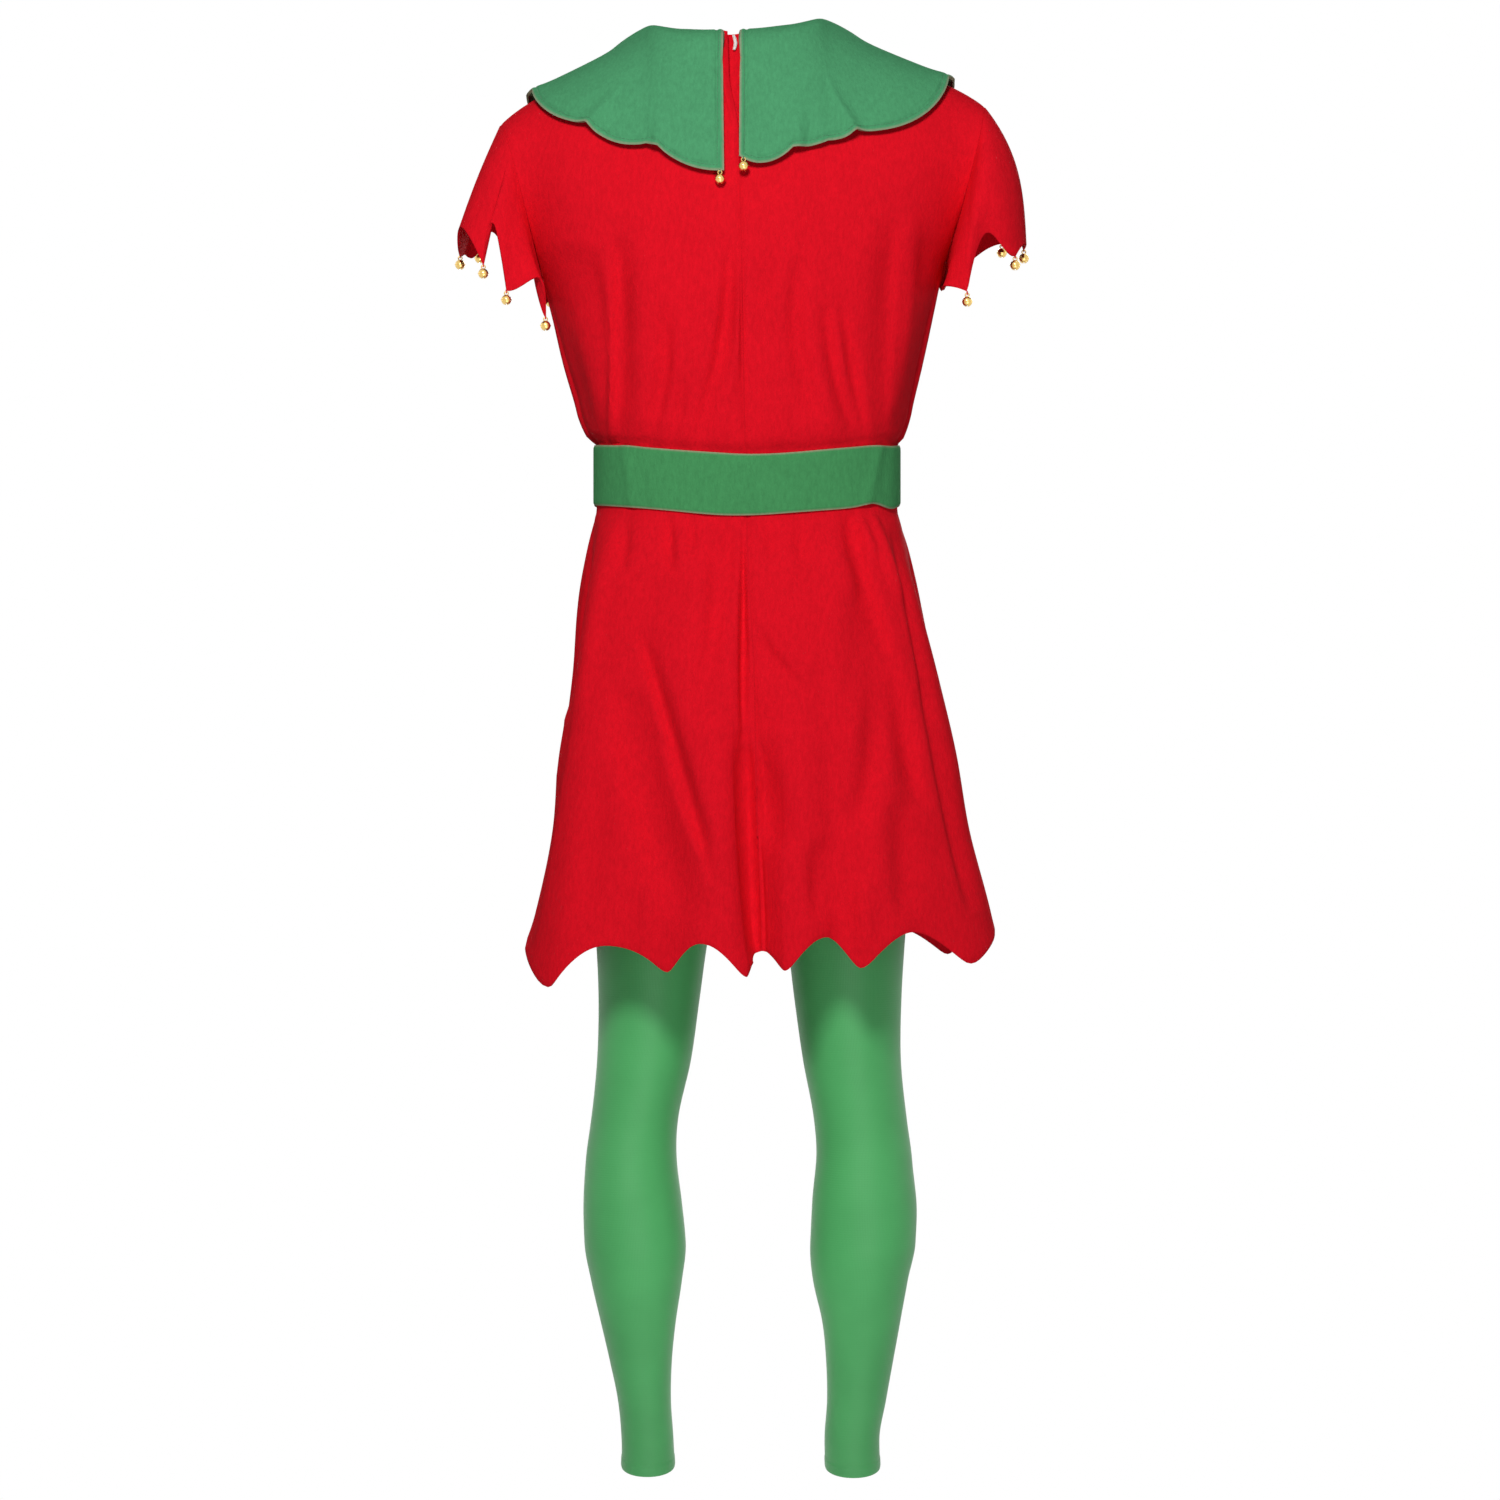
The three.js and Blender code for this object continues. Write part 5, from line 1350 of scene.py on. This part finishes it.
class COSTUME_OT_tab(bpy.types.Operator):
    """Makes the closure tab in the neck slit"""

    bl_idname = "costume.tab"
    bl_label = "Closure tab"

    def execute(self, context):
        low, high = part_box("closure_tab")
        across, down = np.meshgrid(np.linspace(0, 1, 15), np.linspace(0, 1, 41))
        middle = lerp(low.x, high.x, 0.38) + 0.0019 * np.sin(2.9 * down)
        half = 0.0011 * above(np.sin(math.pi * lerp(0.05, 0.95, down)), 0.6)
        curl = 0.0006 * (2 * across - 1) ** 2
        grid = points(
            middle + half * (2 * across - 1),
            lerp(high.y - 0.0030, low.y, down) - curl,
            lerp(high.z - 0.0020, low.z - 0.0022, down),
        )
        finish = material("white_hook_tape", tape_finish, context.scene.costume_cloth.white)
        piece = cloth_piece("woven_closure_tab", grid, 0.0009, finish, (0.005, 0.017))
        belong(piece, "white_tape", "closure_tab")
        return {"FINISHED"}


# Bells.
BELL_NODES = sorted(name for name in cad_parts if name.startswith("bell_"))
BELL = {"radius": 0.005, "ridge": 0.0005, "loop": 0.0019, "wire": 0.0006, "rise": 0.0014, "pea": 0.0013}
KNOT = {"radius": 0.0011, "stretch": (0.8, 0.8, 2.1), "rise": 0.0002}


def bell_shape(facts):
    """A jingle bell round its own middle: two pressed cups, a seam ridge, a loop, two slots and a pea."""
    radius = BELL["radius"]
    bpy.ops.object.select_all(action="DESELECT")
    bpy.ops.mesh.primitive_uv_sphere_add(segments=40, ring_count=24, radius=radius)
    bell = bpy.context.object
    bell.name = "bell_model"
    thickness = bell.modifiers.new("sheet", "SOLIDIFY")
    thickness.thickness = facts.sheet
    thickness.offset = -1
    apply_modifiers(bell)
    for length, width in ((1.5 * radius, facts.slot), (facts.slot, 1.5 * radius)):
        bpy.ops.object.select_all(action="DESELECT")
        bpy.ops.mesh.primitive_cube_add(size=1, location=(0, 0, -radius))
        cutter = bpy.context.object
        cutter.dimensions = (length, width, radius)
        bpy.ops.object.transform_apply(location=True, scale=True)
        cut = bell.modifiers.new("slot", "BOOLEAN")
        cut.object = cutter
        cut.solver = "EXACT"
        apply_modifiers(bell)
        bpy.data.objects.remove(cutter)
    parts = [bell]
    bpy.ops.object.select_all(action="DESELECT")
    bpy.ops.mesh.primitive_torus_add(major_segments=48, minor_segments=8, major_radius=radius,
                                     minor_radius=BELL["ridge"])
    parts.append(bpy.context.object)
    bpy.ops.mesh.primitive_torus_add(major_segments=20, minor_segments=8, major_radius=BELL["loop"],
                                     minor_radius=BELL["wire"], location=(0, 0, radius + BELL["rise"]),
                                     rotation=(math.pi / 2, 0, 0))
    parts.append(bpy.context.object)
    bpy.ops.mesh.primitive_uv_sphere_add(segments=12, ring_count=8, radius=BELL["pea"],
                                         location=(0, 0, -radius * 0.5))
    parts.append(bpy.context.object)
    select_only(*parts)
    bpy.ops.object.transform_apply(location=True, rotation=True, scale=True)
    bpy.ops.object.join()
    bpy.ops.object.shade_smooth_by_angle(angle=math.radians(40))
    return bell


def bell_thread(node, high, middle):
    """The knot of sewing thread between a bell's loop and the point above it."""
    bpy.ops.object.select_all(action="DESELECT")
    bpy.ops.mesh.primitive_uv_sphere_add(segments=14, ring_count=10, radius=KNOT["radius"])
    knot = bpy.context.object
    knot.name = "thread_" + node
    knot.scale = KNOT["stretch"]
    bpy.ops.object.transform_apply(scale=True)
    for vertex in knot.data.vertices:
        vertex.co += Vector((middle.x, middle.y, high.z + KNOT["rise"]))
    bpy.ops.object.shade_smooth()
    cloth = bpy.context.scene.costume_cloth
    if "collar" in node:
        finish = material("green_thread", thread_finish, shade(cloth.green, 0.75))
    else:
        finish = material("red_thread", thread_finish, shade(cloth.red, 0.8))
    knot.data.materials.append(finish)
    return knot


class COSTUME_OT_bells(bpy.types.Operator):
    """Makes the jingle bells on the cuffs and on the collar's back corners"""

    bl_idname = "costume.bells"
    bl_label = "Bells"

    def execute(self, context):
        facts = context.scene.costume_bells
        model = bell_shape(facts)
        brass = material("polished_brass", brass_finish, facts.colour)
        model.data.materials.clear()
        model.data.materials.append(brass)
        for node in BELL_NODES:
            low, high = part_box(node)
            mesh = model.data.copy()
            piece = linked("brass_" + node, mesh)
            middle = Vector(((low.x + high.x) / 2, (low.y + high.y) / 2, low.z + BELL["radius"]))
            for vertex in mesh.vertices:
                vertex.co += middle
            belong(piece, "brass_bell", node)
            belong(bell_thread(node, high, middle), "green_felt" if "collar" in node else "red_felt")
        bpy.data.objects.remove(model)
        return {"FINISHED"}


# The floor's radius, what the camera and the lights look at, and each light's place, size, aim and power.
FLOOR_RADIUS = 0.31
AIMS = {
    "middle": Vector((0.008, 0, -0.72)),
    "chest": Vector((0.008, 0, -0.40)),
    "legs": Vector((0.008, 0, -1.05)),
}
LIGHTS = {
    "key": {"place": (-0.22, -2.15, 0.62), "size": 0.5, "aim": "chest", "power": "key"},
    "fill": {"place": (0.4, -2.3, -1.60), "size": 1.0, "aim": "legs", "power": "fill"},
    "front": {"place": (0.5, 2.9, 0.5), "size": 1.4, "aim": "chest", "power": "front"},
    "right": {"place": (2.9, 0.9, 0.1), "size": 1.4, "aim": "chest", "power": "side"},
    "left": {"place": (-2.9, 0.9, 0.1), "size": 1.4, "aim": "chest", "power": "side"},
}


class COSTUME_OT_stage(bpy.types.Operator):
    """Sets up the pale floor, the studio lights and the camera"""

    bl_idname = "costume.stage"
    bl_label = "Stage"

    def execute(self, context):
        facts = context.scene.costume_stage
        bpy.ops.object.select_all(action="DESELECT")
        bpy.ops.mesh.primitive_circle_add(vertices=128, radius=FLOOR_RADIUS, fill_type="NGON",
                                          location=(0, 0, facts.floor))
        floor = context.object
        floor.name = "pale_floor"
        paper = Finish("pale_paper", roughness=1.0, emission_strength=0.45)
        paper.shader.inputs["Base Color"].default_value = (0.9, 0.9, 0.9, 1)
        paper.shader.inputs["Emission Color"].default_value = (1, 1, 1, 1)
        floor.data.materials.append(paper.material)

        for name, spot in LIGHTS.items():
            light = bpy.data.lights.new("light_" + name, "AREA")
            light.shape = "DISK"
            light.size = spot["size"]
            light.energy = getattr(facts, spot["power"])
            lamp = linked("light_" + name, light)
            lamp.location = spot["place"]
            towards = AIMS[spot["aim"]] - lamp.location
            lamp.rotation_euler = towards.to_track_quat("-Z", "Y").to_euler()

        world = bpy.data.worlds.new("studio")
        context.scene.world = world
        world.use_nodes = True
        tree = world.node_tree
        tree.nodes.clear()
        output = tree.nodes.new("ShaderNodeOutputWorld")
        path = tree.nodes.new("ShaderNodeLightPath")
        mix = tree.nodes.new("ShaderNodeMixShader")
        tree.links.new(path.outputs["Is Diffuse Ray"], mix.inputs[0])
        for socket, strength in ((1, 1.0), (2, facts.sky)):
            background = tree.nodes.new("ShaderNodeBackground")
            background.inputs["Color"].default_value = (1, 1, 1, 1)
            background.inputs["Strength"].default_value = strength
            tree.links.new(background.outputs[0], mix.inputs[socket])
        tree.links.new(mix.outputs[0], output.inputs[0])

        lens = bpy.data.cameras.new("camera")
        lens.lens = facts.lens
        lens.sensor_width = 36
        camera = linked("camera", lens)
        camera.location = AIMS["middle"] + Vector((0, -facts.distance, 0))
        camera.rotation_euler = (math.radians(90), 0, 0)
        context.scene.camera = camera
        context.scene.view_settings.view_transform = "Standard"
        return {"FINISHED"}


class COSTUME_PT_panel(bpy.types.Panel):
    """Lists the costume's steps and settings"""

    bl_idname = "COSTUME_PT_panel"
    bl_label = "Elf costume"
    bl_space_type = "VIEW_3D"
    bl_region_type = "UI"
    bl_category = "Costume"

    def draw(self, context):
        for name in GROUPS:
            group = getattr(context.scene, name)
            box = self.layout.box()
            for setting in group.__annotations__:
                box.prop(group, setting)
        for step in STEPS:
            self.layout.operator(step.bl_idname)


STEPS = (
    COSTUME_OT_tunic,
    COSTUME_OT_sleeves,
    COSTUME_OT_collar,
    COSTUME_OT_tab,
    COSTUME_OT_belt,
    COSTUME_OT_leggings,
    COSTUME_OT_bells,
    COSTUME_OT_stage,
)
GROUPS = {"costume_cloth": CostumeCloth, "costume_bells": CostumeBells, "costume_stage": CostumeStage}


def register():
    for name, group in GROUPS.items():
        bpy.utils.register_class(group)
        setattr(bpy.types.Scene, name, PointerProperty(type=group))
    for step in STEPS:
        bpy.utils.register_class(step)
    bpy.utils.register_class(COSTUME_PT_panel)


def unregister():
    bpy.utils.unregister_class(COSTUME_PT_panel)
    for step in reversed(STEPS):
        bpy.utils.unregister_class(step)
    for name, group in reversed(GROUPS.items()):
        delattr(bpy.types.Scene, name)
        bpy.utils.unregister_class(group)


def main():
    register()
    bpy.ops.costume.tunic()
    bpy.ops.costume.sleeves()
    bpy.ops.costume.collar()
    bpy.ops.costume.tab()
    bpy.ops.costume.belt()
    bpy.ops.costume.leggings()
    bpy.ops.costume.bells()
    bpy.ops.costume.stage()


if __name__ == "__main__":
    main()
